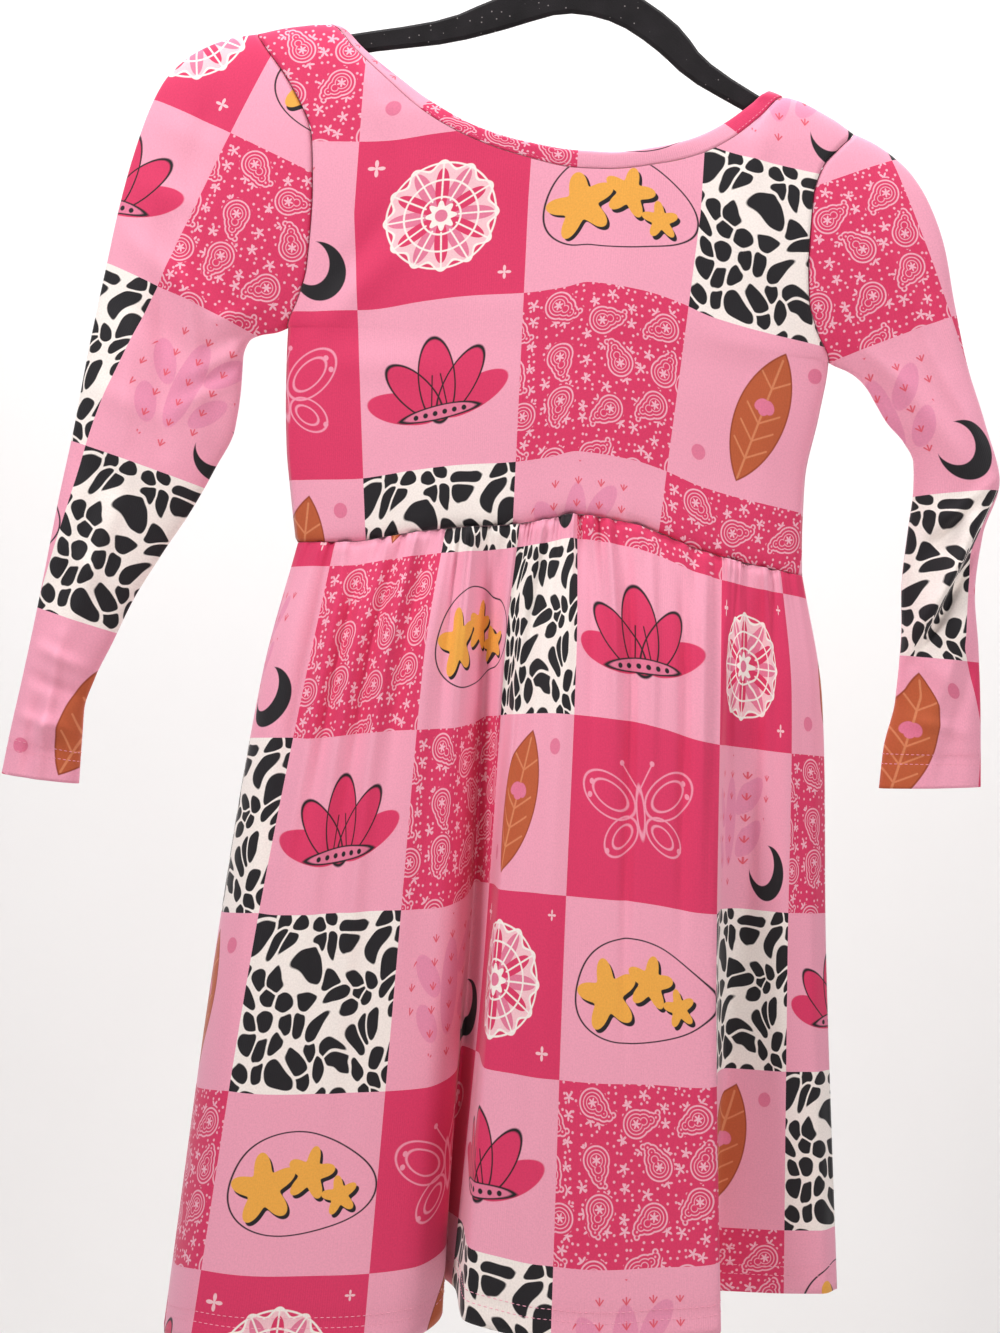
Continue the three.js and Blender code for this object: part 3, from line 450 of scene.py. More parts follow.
# %% [markdown]
# ## Printed knit
# The cloth is taken as a brushed stretch jersey, digitally printed. It is matt, with a soft sheen at
# a grazing angle and a fine grain of loops. A loop is about 0.4 mm wide, too fine to show from here,
# so the ribs are drawn 1.3 mm apart.

# %% Printed knit
CHECK = 98
RIB = 1.3


def new_material(name):
    material = bpy.data.materials.new(name)
    material.use_nodes = True
    return material, material.node_tree, material.node_tree.nodes["Principled BSDF"]


def knit_material(name, draw):
    """Printed jersey. draw works out the ink from the place within a square, in mm."""
    material, tree, shader = new_material(name)
    cloth = add(tree, "ShaderNodeUVMap", uv_map="print")
    part = vectors(tree, "FRACTION", cloth)
    part = vectors(tree, "SUBTRACT", part, (0.5, 0.5, 0))
    spot = vectors(tree, "SCALE", part, scale=float(CHECK))
    whole = vectors(tree, "SCALE", cloth, scale=float(CHECK))
    paint = draw(tree, spot)
    # Brushed cloth takes the ink a little unevenly
    grain = add(tree, "ShaderNodeTexNoise", {"Vector": whole, "Scale": 0.9, "Detail": 3.0})
    tone = add(tree, "ShaderNodeMapRange", {0: grain, 1: 0.3, 2: 0.7, 3: 0.93, 4: 1.05})
    paint = vectors(tree, "SCALE", paint, scale=tone)
    tree.links.new(paint, shader.inputs["Base Color"])
    ribs = add(tree, "ShaderNodeTexWave", {
        "Vector": whole, "Scale": 0.314 / RIB, "Distortion": 0.6, "Detail": 1.0, "Detail Scale": 2.0},
        out="Fac", wave_type="BANDS", bands_direction="X")
    height = sums(tree, "MULTIPLY_ADD", grain, 0.8, ribs)
    bump = add(tree, "ShaderNodeBump", {"Strength": 0.22, "Distance": 0.0002, "Height": height})
    tree.links.new(bump, shader.inputs["Normal"])
    shader.inputs["Roughness"].default_value = 0.78
    shader.inputs["IOR"].default_value = 1.46
    shader.inputs["Sheen Weight"].default_value = 0.18
    shader.inputs["Sheen Roughness"].default_value = 0.4
    return material


PALE_KINDS = {"sprig": sprig, "leaf": leaf, "lotus": lotus, "stars": stars}
BRIGHT_KINDS = {"bandana": bandana, "cow_spots": cow_spots, "rosette": rosette, "butterfly": butterfly}
KINDS = {name: knit_material("printed_jersey_" + name, draw)
         for name, draw in {**PALE_KINDS, **BRIGHT_KINDS}.items()}
KIND_NAMES = list(KINDS)
# The wrong side of a printed jersey stays nearly white, here with one faint fleck in each square
WRONG_SIDE = knit_material("unprinted_jersey", lambda tree, spot: ink(
    tree, srgb("#F3D3DB"), petals(tree, spot, 3, 2.0, 0.1), srgb("#F1CFD8")))


def kind_at(column, row):
    """The motif of a square of the check."""
    rising, falling = (column + row) // 2, (column - row) // 2
    if (column + row) % 2 == 0:
        return list(PALE_KINDS)[(rising + 2 * falling) % 4]
    order = ("bandana", "cow_spots", "rosette", "cow_spots", "bandana", "butterfly")
    return order[(2 * rising + 3 * falling + row) % 6]


print("kinds of square:", KIND_NAMES)

# %% [markdown]
# ## Cutting a piece of cloth
# A maker cuts each piece flat from the printed cloth and then sews it. The script does the same. A
# grid is laid out at the size of the flat piece, and cut along the lines of the check, so that the
# colours meet on clean edges. Then every point is carried to its place on the hanging dress. The
# flat place stays with it as the UV map, and the print stretches and folds with the cloth.

# %% Cloth maker
CLOTH, TURNED = 0.8, 1.6


def into_object(bm, name, *materials):
    """Turns a finished bmesh into an object in the scene."""
    mesh = bpy.data.meshes.new(name)
    bm.to_mesh(mesh)
    bm.free()
    for material in materials:
        mesh.materials.append(material)
    made = bpy.data.objects.new(name, mesh)
    bpy.context.collection.objects.link(made)
    return made


def cut_cloth(name, node, place, flat, across, along, origin, hem=None):
    """A shell of printed cloth. place(a, b) gives its form and flat(a, b) its place on the bolt."""
    bm = bmesh.new()
    bmesh.ops.create_grid(bm, x_segments=across, y_segments=along, size=0.5)
    side, up = bm.verts.layers.float.new("side"), bm.verts.layers.float.new("up")
    for vert in bm.verts:
        vert[side], vert[up] = vert.co.x + 0.5, vert.co.y + 0.5
        u, v = flat(vert[side], vert[up])
        vert.co = (u + origin[0], v + origin[1], 0)
    for axis in (0, 1):
        reach = [vert.co[axis] for vert in bm.verts]
        for k in range(math.floor(min(reach) / CHECK) + 1, math.ceil(max(reach) / CHECK)):
            point, normal = Vector(), Vector()
            point[axis], normal[axis] = k * CHECK, 1
            bmesh.ops.bisect_plane(bm, geom=bm.verts[:] + bm.edges[:] + bm.faces[:], dist=0.02,
                                   plane_co=point, plane_no=normal)
    printed = bm.loops.layers.uv.new("print")
    for face in bm.faces:
        middle = face.calc_center_median()
        square = kind_at(math.floor(middle.x / CHECK), math.floor(middle.y / CHECK))
        face.material_index = KIND_NAMES.index(square)
        face.smooth = True
        for loop in face.loops:
            loop[printed].uv = loop.vert.co.xy / CHECK
    weights = bm.verts.layers.deform.verify()
    for vert in bm.verts:
        vert[weights][0] = hem(vert[up]) if hem else 0
        vert.co = Vector(place(vert[side], vert[up])) * MM
    bmesh.ops.remove_doubles(bm, verts=bm.verts, dist=2e-6)
    piece = into_object(bm, name, *KINDS.values(), *[WRONG_SIDE] * len(KINDS))
    piece.vertex_groups.new(name="hem")
    wall = piece.modifiers.new("wall", "SOLIDIFY")
    wall.thickness, wall.offset = TURNED * MM, -1
    wall.vertex_group, wall.thickness_vertex_group = "hem", CLOTH / TURNED
    wall.material_offset = len(KINDS)
    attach(piece, "root")
    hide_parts(node)
    print(name, "faces:", len(piece.data.polygons))
    return piece


# %% [markdown]
# ## Creases
# Hung cloth is never smooth: it pulls into soft ridges and troughs that run from where it is held.
# Each is given as a line seen from the front, with its own width and height, and fades at
# its ends. A height below zero is a trough. The hidden back has similar ones in places of its own.

# %% Creases
# x and height of both ends, width, height. All in mm
CREASES = {
    "bodice_front": [
        (-150, -318, -96, -262, 9, 2.2), (-148, -300, -104, -240, 7, -1.8),
        (-146, -330, -70, -330, 10, 1.4), (134, -286, 92, -226, 8, 2.0),
        (140, -312, 78, -300, 9, 1.6), (-128, -150, -112, -200, 7, 1.6),
        (112, -168, 100, -214, 7, 1.4), (-60, -214, -52, -300, 12, -1.2),
        (24, -216, 30, -330, 14, 1.2), (-30, -300, -20, -400, 10, 1.3),
        (60, -320, 66, -404, 9, -1.3), (-110, -340, -100, -420, 9, 1.5),
        (118, -330, 124, -420, 9, 1.5),
    ],
    "bodice_back": [
        (-146, -300, -90, -250, 9, 2.2), (130, -290, 84, -240, 9, 2.0),
        (-120, -170, -96, -230, 8, 1.6), (104, -180, 84, -240, 8, 1.5),
        (-70, -230, -62, -380, 12, 1.5), (10, -220, 0, -360, 14, -1.4),
        (70, -260, 76, -400, 10, 1.6), (-20, -320, -26, -410, 9, 1.4),
    ],
    "sleeve_right": [
        (-190, -320, -262, -262, 9, 3.5), (-196, -345, -262, -300, 9, -2.5),
        (-272, -545, -300, -566, 6, 3),
    ],
    "sleeve_left": [
        (257, -373, 211, -475, 6, 7), (176, -300, 246, -372, 9, 3.5), (186, -318, 208, -392, 8, -3),
    ],
}
# Smaller ones, which only the cloth has
FINE_CREASES = {
    "sleeve_right": [
        (-226, -262, -206, -378, 6, 3.6), (-240, -258, -228, -388, 6, -3.4), (-252, -300, -252, -400, 7, 2.6),
        (-246, -400, -276, -500, 6, 2.6), (-262, -400, -290, -500, 6, -2.4), (-214, -182, -224, -232, 7, -2.2),
        (-166, -296, -204, -312, 4, 3.2), (-168, -308, -208, -328, 3.5, -3.0),
        (-172, -318, -214, -344, 4, 3.0), (-178, -328, -220, -356, 4, -2.4),
        (-184, -338, -226, -368, 5, 2.6), (-206, -214, -246, -196, 8, 1.4),
        (-214, -250, -258, -232, 9, 1.5), (-228, -372, -276, -352, 8, 1.6),
        (-240, -420, -282, -396, 8, -1.4), (-250, -470, -290, -446, 7, 1.6),
        (-262, -520, -292, -508, 4, 3.0), (-264, -536, -298, -524, 4, -3.0),
        (-268, -556, -302, -548, 4, 3.4), (-280, -500, -288, -584, 4, 3.4), (-292, -540, -296, -584, 3.5, -3.0),
    ],
    "sleeve_left": [
        (262, -380, 217, -482, 3.5, -6.5), (262, -368, 216, -408, 4, 3.0), (254, -376, 214, -424, 4, -3.0),
        (252, -396, 212, -470, 4, 4.5), (250, -440, 222, -530, 5, 2.8), (256, -460, 236, -545, 5, -2.6),
        (182, -236, 214, -300, 6, 2.6), (196, -236, 226, -306, 6, -2.4), (212, -300, 244, -350, 5, 2.6),
        (166, -296, 200, -322, 4, 2.6), (172, -310, 206, -340, 4, -2.4),
        (196, -226, 216, -262, 8, 1.5), (206, -260, 230, -296, 8, 1.4),
        (216, -392, 252, -396, 5, 2.2), (212, -408, 250, -414, 5, -1.8),
        (216, -440, 250, -470, 7, 1.8), (212, -476, 254, -500, 7, 1.8),
        (212, -514, 250, -520, 4, 2.2), (228, -520, 232, -552, 5, 1.8),
        (244, -520, 246, -552, 4, -1.8), (236, -330, 250, -366, 5, 1.6),
    ],
}
CREASE_END = 0.35


def crease_rise(lines, x, z):
    total = 0
    for x0, z0, x1, z1, width, rise in lines:
        lx, lz = x1 - x0, z1 - z0
        t = clamp(((x - x0) * lx + (z - z0) * lz) / (lx * lx + lz * lz), 0, 1)
        ease = CREASE_END + (1 - CREASE_END) * math.sin(math.pi * t)
        total += rise * near(math.hypot(x - x0 - lx * t, z - z0 - lz * t), width) * ease
    return total


# %% [markdown]
# ## Bodice
# The bodice is two flat panels sewn at the shoulders and sides. On the hanger it lies nearly flat,
# rounds over the shoulders, and bows open at the armholes. Its print runs parallel to the waist
# seam, and the elastic seam draws it in.

# %% Bodice form
CORNER = [(x - TIP["right"][0]) / (TIP["left"][0] - TIP["right"][0]) for x in NECK_CORNER]
ARMPIT_UP = 0.42


def armhole_depth(share):
    return ARMHOLE_DEPTH * 2 * math.sqrt(max(share * (1 - share), 0))


def armhole_point(side, share):
    z = mix(TIP[side][1], ARMPIT[side][1], share)
    return edge_at[side](z), z


def shoulder_z(x):
    between = (x - NECK_CORNER[0]) / (NECK_CORNER[1] - NECK_CORNER[0])
    if not 0 < between < 1:
        return top_z(x)
    return mix(top_z(NECK_CORNER[0]), top_z(NECK_CORNER[1]), between)


def round_across(share, power):
    return max(1 - abs(2 * share - 1) ** SIDE_ROUND, 0) ** power


def bodice_depth(side, share, x, z, opening):
    fall = clamp((shoulder_z(x) - z) / SHOULDER_ROUND, 0, 1)
    full = depth_at[side](z) * math.sqrt(1 - (1 - fall) ** 2)
    power = 0.5 + 0.4 * opening / ARMHOLE_DEPTH
    return HALF_GAP + opening + max(full - opening, 0) * round_across(share, power)


def bodice_line(share, up):
    """x, height and the armhole's opening at a share across and a share up the panel."""
    if up >= ARMPIT_UP:
        down = (1 + math.cos(math.pi * (up - ARMPIT_UP) / (1 - ARMPIT_UP))) / 2
        x = mix(armhole_point("right", down)[0], armhole_point("left", down)[0], share)
        top = top_z(mix(TIP["right"][0], TIP["left"][0], share))
        z = mix(top, mix(ARMPIT["right"][1], ARMPIT["left"][1], share), down)
        return x, z, armhole_depth(down)
    down = 1 - up / ARMPIT_UP
    side_z = mix(ARMPIT["right"][1], WAIST_LINE[0][1], down)
    edges = WAIST_SIDE if down == 1 else (edge_at["right"](side_z), edge_at["left"](side_z))
    low = waist_z(mix(*WAIST_SIDE, share)) + HALF_GAP
    z = mix(mix(ARMPIT["right"][1], ARMPIT["left"][1], share), low, down)
    return mix(*edges, share), z, 0


def bodice_point(side, share, up):
    x, z, opening = bodice_line(share, up)
    depth = bodice_depth(side, share, x, z, opening)
    above = z - waist_z(mix(*WAIST_SIDE, share))
    soft = min(1, 10 * share * (1 - share)) * min(1, 6 * (1 - up))
    depth += soft * crease_rise(CREASES["bodice_" + side], x, z) * (0.4 + 0.6 * min(1, above / 30))
    # The gathering stitches pull small puckers up into the bodice
    pucker = math.sin(97 * share + 3 * math.sin(31 * share)) * math.exp(-above / 9)
    depth += 1.3 * pucker * soft - 2.4 * near(above, 2.6) * min(1, 12 * share * (1 - share))
    return x, OUT[side] * max(depth, HALF_GAP), z


def bodice_flat(share, up):
    x, z, _ = bodice_line(share, up)
    above = z - waist_z(x)
    gather = mix(0.86, 1.02, clamp(above / 190, 0, 1))
    return x / gather, above


# %% Bodice cloth


def from_right(side, a):
    """A share across the panel from the wearer's right, so that its outside faces out."""
    return a if side == "front" else 1 - a


for side, origin in (("front", (26, 62)), ("back", (60, 20))):
    cut_cloth(
        side + "_bodice", "bodice_" + side,
        lambda a, b, side=side: bodice_point(side, from_right(side, a), b),
        lambda a, b, side=side: (bodice_flat(from_right(side, a), b)[0] * -OUT[side],
                                 bodice_flat(from_right(side, a), b)[1]),
        120, 110, origin)

# %% [markdown]
# ## Skirt
# Each skirt panel is a plain rectangle, nearly twice as wide as the waist that it is gathered
# into. Its width is laid out along the curve of the hem, so a deep fold takes as much cloth as it
# really would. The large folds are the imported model's. Near the seam the gathering
# thread bunches the cloth into about sixty small puckers of uneven length, added here.

# %% Skirt folds
# x at the waist, x and depth at the hip, at the thigh and at the hem, and the hem's height
SKIRT_FOLDS = {
    "front": [
        (-147.5, -163, 0, -179, 0, -194, 0, -899), (-140, -160, 14, -175, 20, -189, 26, -896),
        (-124, -134, 30, -152, 46, -170, 55, -889), (-100, -112, 36, -126, 50, -142, 61, -889),
        (-72, -82, 38, -88, 50, -95, 60, -886), (-48, -50, 37, -49, 45, -49, 47, -882),
        (-38, -38, 32, -34, 30, -31, 27, -872), (-28, -29, 28, -29, 15, -36, 5, -857),
        (-16, -20, 30, -20, 28, -25, 30, -857), (-3, -10, 37, -15, 58, -19, 71, -861),
        (20, 27, 43, 33, 65, 43, 83, -866), (60, 66, 42, 72, 63, 88, 80, -862),
        (98, 101, 35, 107, 56, 123, 72, -857), (108, 109, 25, 113, 30, 121, 38, -854),
        (118, 122, 21, 124, 17, 124, 14, -853), (133, 142, 18, 150, 16, 160, 14, -852),
        (142, 158, 12, 167, 12, 188, 12, -851), (149.5, 166, 0, 178.5, 0, 199, 0, -851),
    ],
    "back": [
        (-147.5, -163, 0, -179, 0, -194, 0, -899), (-138, -158, 15, -172, 20, -186, 26, -896),
        (-115, -125, 28, -138, 38, -152, 46, -890), (-85, -93, 31, -102, 40, -112, 42, -884),
        (-60, -64, 26, -70, 17, -82, 10, -877), (-38, -42, 31, -48, 42, -56, 52, -876),
        (-5, -5, 37, -6, 56, -8, 68, -872), (30, 32, 36, 34, 50, 34, 58, -866),
        (52, 56, 29, 58, 21, 56, 14, -861), (75, 80, 32, 86, 42, 88, 50, -860),
        (108, 118, 29, 128, 42, 140, 50, -858), (134, 150, 16, 160, 24, 176, 30, -853),
        (149.5, 166, 0, 178.5, 0, 199, 0, -851),
    ],
}
# x at the waist, width, height, share of the fall where it is highest and where it ends
SOFT_FOLDS = {
    "front": [
        (-134, 4, 3, 0.1, 0.5), (-125, 4, -6, 0.12, 0.75), (-115, 4, 4, 0.14, 0.5), (-106, 3, -4, 0.1, 0.4),
        (-97, 4, 4, 0.16, 0.6), (-88, 3, -4, 0.1, 0.45), (-79, 4, 4.5, 0.2, 0.8), (-70, 3, -3.5, 0.08, 0.35),
        (-60, 4, 4, 0.14, 0.6), (-52, 2.5, -4, 0.06, 0.3), (-33, 7, -12, 0.14, 0.8), (-21, 3, 3, 0.1, 0.4),
        (-2, 3.5, -5, 0.12, 0.6), (10, 3.5, 3.5, 0.3, 1.6), (21, 3, -3.5, 0.08, 0.35), (32, 3, 2.5, 0.1, 0.4),
        (42, 3.5, -5, 0.15, 0.7), (56, 3, 3, 0.1, 0.4), (76, 3.5, -5, 0.14, 0.55), (87, 3, 3.5, 0.12, 0.5),
        (96, 3, -4, 0.1, 0.4), (112, 3, 3, 0.12, 0.5), (121, 3.5, -4, 0.14, 0.6), (134, 4, 4, 0.2, 0.8),
    ],
    "back": [
        (-132, 4, -4, 0.12, 0.6), (-120, 4, 4, 0.12, 0.5), (-108, 3, -4, 0.1, 0.4), (-97, 4, 5, 0.18, 0.7),
        (-86, 3, -3.5, 0.1, 0.4), (-72, 5, -5, 0.15, 0.6), (-60, 3, 3, 0.08, 0.35), (-44, 3.5, 4, 0.14, 0.6),
        (-20, 5, 5, 0.2, 0.7), (-8, 3, -4, 0.1, 0.45), (14, 5, -5, 0.16, 0.6), (27, 3, 3, 0.1, 0.4),
        (44, 3, -4, 0.12, 0.5), (64, 5, 5, 0.22, 0.7), (78, 3, -3.5, 0.1, 0.4), (96, 5, -5, 0.14, 0.6),
        (110, 3, 3.5, 0.1, 0.45), (122, 4, 4.5, 0.2, 0.8), (136, 3, -3, 0.1, 0.5),
    ],
}
LEVELS = (0, 0.17, 0.52, 1)
GATHERS = {"front": 19, "back": 15}
GATHER_DEPTH, GATHER_REACH, SIDE_EASE = 3, 38, 12
FALL = 445
# Twin rows of stitches, up from the edge of the hem and of the cuff, and the groove between them
HEM_ROWS, HEM_GROOVE = (11, 16.5), 13.7
CUFF_ROWS, CUFF_GROOVE = (14, 19.5), 16.7
GROOVE_DEPTH, GROOVE_WIDTH = 0.7, 3.4

skirt_line = {side: [curve(rows, 0, column) for column in range(1, 8)] for side, rows in SKIRT_FOLDS.items()}


def side_ease(share):
    return min(1, SIDE_EASE * share * (1 - share))


def gather(side, share, drop):
    turn = 2 * math.pi
    shift = 0.4 * math.sin(turn * 2.3 * share + OUT[side]) + 0.25 * math.sin(turn * 5.1 * share)
    height = GATHER_DEPTH * (0.75 + 0.25 * math.sin(turn * 3.7 * share + 1))
    wave = math.cos(turn * (GATHERS[side] * share + shift))
    return height * wave * side_ease(share) * math.exp(-drop / GATHER_REACH)


def soft_fold(side, x, down, share):
    total = 0
    for waist_x, width, rise, peak, end in SOFT_FOLDS[side]:
        grow = min(down / peak, clamp((end - down) / (end - peak), 0, 1))
        total += rise * math.sin(math.pi / 2 * grow) * near(x - waist_x, width)
    return total * side_ease(share)


# %% Small gathers at the seam
PUCKERS = 62
chance = random.Random(7)
# place along the seam in puckers, width, height and length
puckers = {side: [(k + chance.uniform(0.2, 0.8), chance.uniform(0.22, 0.38), chance.uniform(1.2, 3.6),
                   chance.choice((7, 10, 14, 20, 30, 50))) for k in range(PUCKERS)] for side in GATHERS}


def pucker_rise(side, cloth_share, drop):
    at = cloth_share * PUCKERS
    total = 0
    for place, width, height, reach in puckers[side][max(int(at) - 2, 0):int(at) + 3]:
        total += height * near(at - place, width) * math.exp(-drop / reach)
    return total - 0.6 * math.exp(-drop / 14)


# %% Skirt form


def waist_depth(share, side):
    return HALF_GAP + depth_at[side](WAIST_LINE[0][1]) * round_across(share, 0.5)


def skirt_point(side, share, cloth_share, down):
    """A point of the skirt at a share of the waist and of the cloth's width, and of the fall."""
    x0 = mix(*WAIST_SIDE, share)
    hip_x, hip, thigh_x, thigh, hem_x, hem, hem_z = [read(x0) for read in skirt_line[side]]
    top = waist_z(x0) - HALF_GAP
    z = mix(top, hem_z, down)
    drop = top - z
    x = curve(list(zip(LEVELS, (x0, hip_x, thigh_x, hem_x))))(down)
    depth = curve(list(zip(LEVELS, (waist_depth(share, side), hip, thigh, hem))))(down)
    ease = side_ease(share)
    depth += gather(side, share, drop) + soft_fold(side, x0, down, share)
    depth += pucker_rise(side, cloth_share, drop) * ease - 2.6 * near(drop, 2.8) * ease
    # The twin rows of stitches sink into the hem
    depth -= GROOVE_DEPTH * near((1 - down) * FALL - HEM_GROOVE, GROOVE_WIDTH) * ease
    return x, OUT[side] * max(depth, HALF_GAP), z


# How much of the hem's length lies before each share of the waist
STEPS = 600
hem_run = {}
for side in ("front", "back"):
    line = skirt_line[side]
    points = [(line[4](x0), line[5](x0)) for x0 in (mix(*WAIST_SIDE, k / STEPS) for k in range(STEPS + 1))]
    run = [0.0]
    for before, after in zip(points, points[1:]):
        run.append(run[-1] + math.dist(before, after))
    hem_run[side] = run
    print(side, "skirt's hem in mm:", round(run[-1]))


def share_of_cloth(side, cloth_share):
    """The share of the waist that stands over a share of the cloth's width."""
    run = hem_run[side]
    want = cloth_share * run[-1]
    low, high = 0, STEPS
    while high - low > 1:
        half = (low + high) // 2
        low, high = (half, high) if run[half] <= want else (low, half)
    return (low + (want - run[low]) / (run[high] - run[low])) / STEPS


# %% Skirt cloth
HEM_SHARE = 0.045
CLOSER = 1.3


def fall_at(up):
    """The share of the fall at a row of the grid. Rows lie closer together near the waist."""
    return (1 - up) ** CLOSER


def turned_hem(up):
    return clamp((HEM_SHARE - 1 + fall_at(up)) / 0.01 + 0.5, 0, 1)


def skirt_at(side, a, down):
    cloth_share = from_right(side, a)
    return skirt_point(side, share_of_cloth(side, cloth_share), cloth_share, down)


for side, origin in (("front", (38, 14)), ("back", (5, 51))):
    width = hem_run[side][-1]
    cut_cloth(
        side + "_skirt", "skirt_" + side, lambda a, b, side=side: skirt_at(side, a, fall_at(b)),
        lambda a, b, width=width: ((a - 0.5) * width, -fall_at(b) * FALL),
        310, 120, origin, turned_hem)

# %% [markdown]
# ## Sleeves
# A sleeve is one piece, wrapped round the arm and sewn under it. It is set into the armhole, and
# hangs from the end of the hanger nearly flat. Its print follows the sleeve's own length.

# %% Sleeve form
# outer x, outer height, inner x, inner height, depth, share of the armhole's curve
SLEEVES = {
    "right": [
        (-204, -142.5, -168, -314, 16, 0.75), (-216, -147, -177, -316, 16, 0.45),
        (-231, -156, -184, -320, 15, 0.2), (-245, -172, -187, -330, 14, 0.1),
        (-255, -198, -187, -345, 13, 0), (-265, -242, -189, -372, 12, 0),
        (-271, -282, -199, -396, 12, 0), (-278, -332, -211, -421, 12, 0),
        (-283.5, -379, -226, -447, 11, 0), (-289.5, -421, -241, -475, 11, 0),
        (-294, -458, -252, -502, 11, 0), (-298.5, -493, -261, -524, 11, 0),
        (-303.5, -528, -266, -544, 12, 0), (-308, -557, -266, -564, 12, 0),
        (-311.5, -583, -266, -586, 12, 0),
    ],
    "left": [
        (173, -178.5, 161, -311, 16, 0.75), (185, -185.5, 167, -313, 16, 0.45),
        (196, -194.5, 174, -317, 15, 0.2), (208, -211, 180, -323, 14, 0.1),
        (219, -236, 186, -332, 13, 0), (227, -268, 193, -342, 13, 0),
        (237, -304, 203, -352, 13, 0), (250, -338, 210, -364, 13, 0),
        (261, -373, 211, -381, 12, 0), (253.5, -403, 209.5, -403, 11, 0),
        (251, -434, 208, -434, 11, 0), (255.5, -470, 210, -470, 12, 0),
        (259, -504, 209, -504, 12, 0), (261, -530, 204, -533, 12, 0),
        (262.5, -551, 203, -556, 12, 0),
    ],
}


def armhole_ring(side):
    """The first section: the armhole's own ends and depth."""
    (tip_x, tip_z), (pit_x, pit_z) = TIP[side], ARMPIT[side]
    return (tip_x, tip_z, pit_x, pit_z, ARMHOLE_DEPTH, 1)


sleeve_curves = {}
for side, rows in SLEEVES.items():
    rows = [armhole_ring(side)] + rows
    middles = [((row[0] + row[2]) / 2, (row[1] + row[3]) / 2) for row in rows]
    run = [0.0]
    for before, after in zip(middles, middles[1:]):
        run.append(run[-1] + math.dist(before, after))
    table = [(along,) + row for along, row in zip(run, rows)]
    sleeve_curves[side] = run[-1], [curve(table, 0, column) for column in range(1, 7)]
    print(side, "sleeve's length in mm:", round(run[-1]))


def sleeve_point(side, around, down):
    """A point of the sleeve. around is an angle from the outer fold, over the front."""
    length, read = sleeve_curves[side]
    share, swing = (1 - math.cos(around)) / 2, math.sin(around)
    out_x, out_z, in_x, in_z, depth, bow = [line(down * length) for line in read]
    (tip_x, tip_z), (pit_x, pit_z) = TIP[side], ARMPIT[side]
    curved = armhole_point(side, share)[0] - mix(tip_x, pit_x, share)
    towards = -1 if side == "right" else 1
    x = mix(out_x, in_x, share) + curved * bow + towards * ARMHOLE_GAP * near(down * length, 4)
    z = mix(out_z, in_z, share)
    name = "sleeve_" + side
    rise = crease_rise(CREASES[name], x, z) + crease_rise(FINE_CREASES[name], x, z)
    rise *= (1 - bow) * abs(swing) if bow < 1 else 0
    body = depth * abs(swing) + rise - 0.8 * near(down * length, 1.5) * abs(swing)
    # The twin rows of stitches sink into the cuff
    body -= GROOVE_DEPTH * near((1 - down) * length - CUFF_GROOVE, GROOVE_WIDTH) * abs(swing)
    return x, -math.copysign(body, swing), z


# x and height of the ends of each straight part of the arm, which the print follows
ARM_LINES = {"right": [(-196, -215, -262, -378), (-237, -378, -289, -585)],
             "left": [(165, -215, 236, -372), (236, -372, 232, -555)]}
ELBOW_BEND = 45
# The bent elbow tucks some cloth under a slanting fold: its ends, and how much it hides
ELBOW_TUCK = (Vector((260, -377)), Vector((214, -479)), 17)


def on_bolt(side, x, z):
    """The place on the flat cloth of a point of the sleeve's front, square to its part of the arm."""
    spots = []
    for x0, z0, x1, z1 in ARM_LINES[side]:
        joint = Vector(ARM_LINES[side][1][:2])
        up = Vector((x0 - x1, z0 - z1)).normalized()
        right = Vector((up.y, -up.x))
        away = Vector((x, z)) - joint
        spots.append(Vector((away.dot(right), away.dot(up))))
    below = clamp(0.5 - (spots[0].y + spots[1].y) / 2 / (2 * ELBOW_BEND), 0, 1)
    return spots[0].lerp(spots[1], below * below * (3 - 2 * below))


def tucked(x, z):
    """How far the print jumps over the elbow's fold."""
    top, foot, hidden = ELBOW_TUCK
    run = foot - top
    way = Vector((x, z)) - top
    t = way.dot(run) / run.length_squared
    across = (way.x * -run.y + way.y * run.x) / run.length
    past = clamp(0.5 + across / 3, 0, 1)
    return hidden * past * clamp(4 * t + 0.6, 0, 1) * clamp(3 * (1.15 - t), 0, 1)


# %% Sleeve cloth
CUFF_SHARE = 0.045


def turned_cuff(up):
    return clamp((CUFF_SHARE - up) / 0.01 + 0.5, 0, 1)


def sleeve_at(side, a, up):
    """A point of the sleeve at a share of its girth from the underarm seam, and a share up it."""
    way = 1 if side == "right" else -1
    return sleeve_point(side, math.pi + way * 2 * math.pi * a, 1 - up)


for side, origin in (("right", (33, 20)), ("left", (70, 8))):
    def on_cloth(a, b, side=side):
        x, _, z = sleeve_at(side, a, b)
        flat = on_bolt(side, x, z)
        if (a < 0.5) == (side == "right"):
            # The back half is the front half, opened out over the outer fold
            outer_x, _, outer_z = sleeve_at(side, 0.5, b)
            flat.x = 2 * on_bolt(side, outer_x, outer_z).x - flat.x
        elif side == "left":
            flat.x += tucked(x, z)
        return flat

    cut_cloth(
        side + "_sleeve", "sleeve_" + side, lambda a, b, side=side: sleeve_at(side, a, b), on_cloth,
        112, 190, origin, turned_cuff)

# %% [markdown]
# ## Neck binding
# The neckline is finished with a strip of the same cloth, folded in two along its length. It
# stands up from the bodice by 10 mm. Its outside, its rounded fold and its inside are one strip.

# %% Neck binding
binding_edge = [curve(BINDING_EDGE, 0, column) for column in (1, 2, 3)]
BAND_WALL = 1.8
# The strip's width as its print is laid, and the number of steps round the ring
BAND_ON_BOLT, RING_STEPS = 24, 400


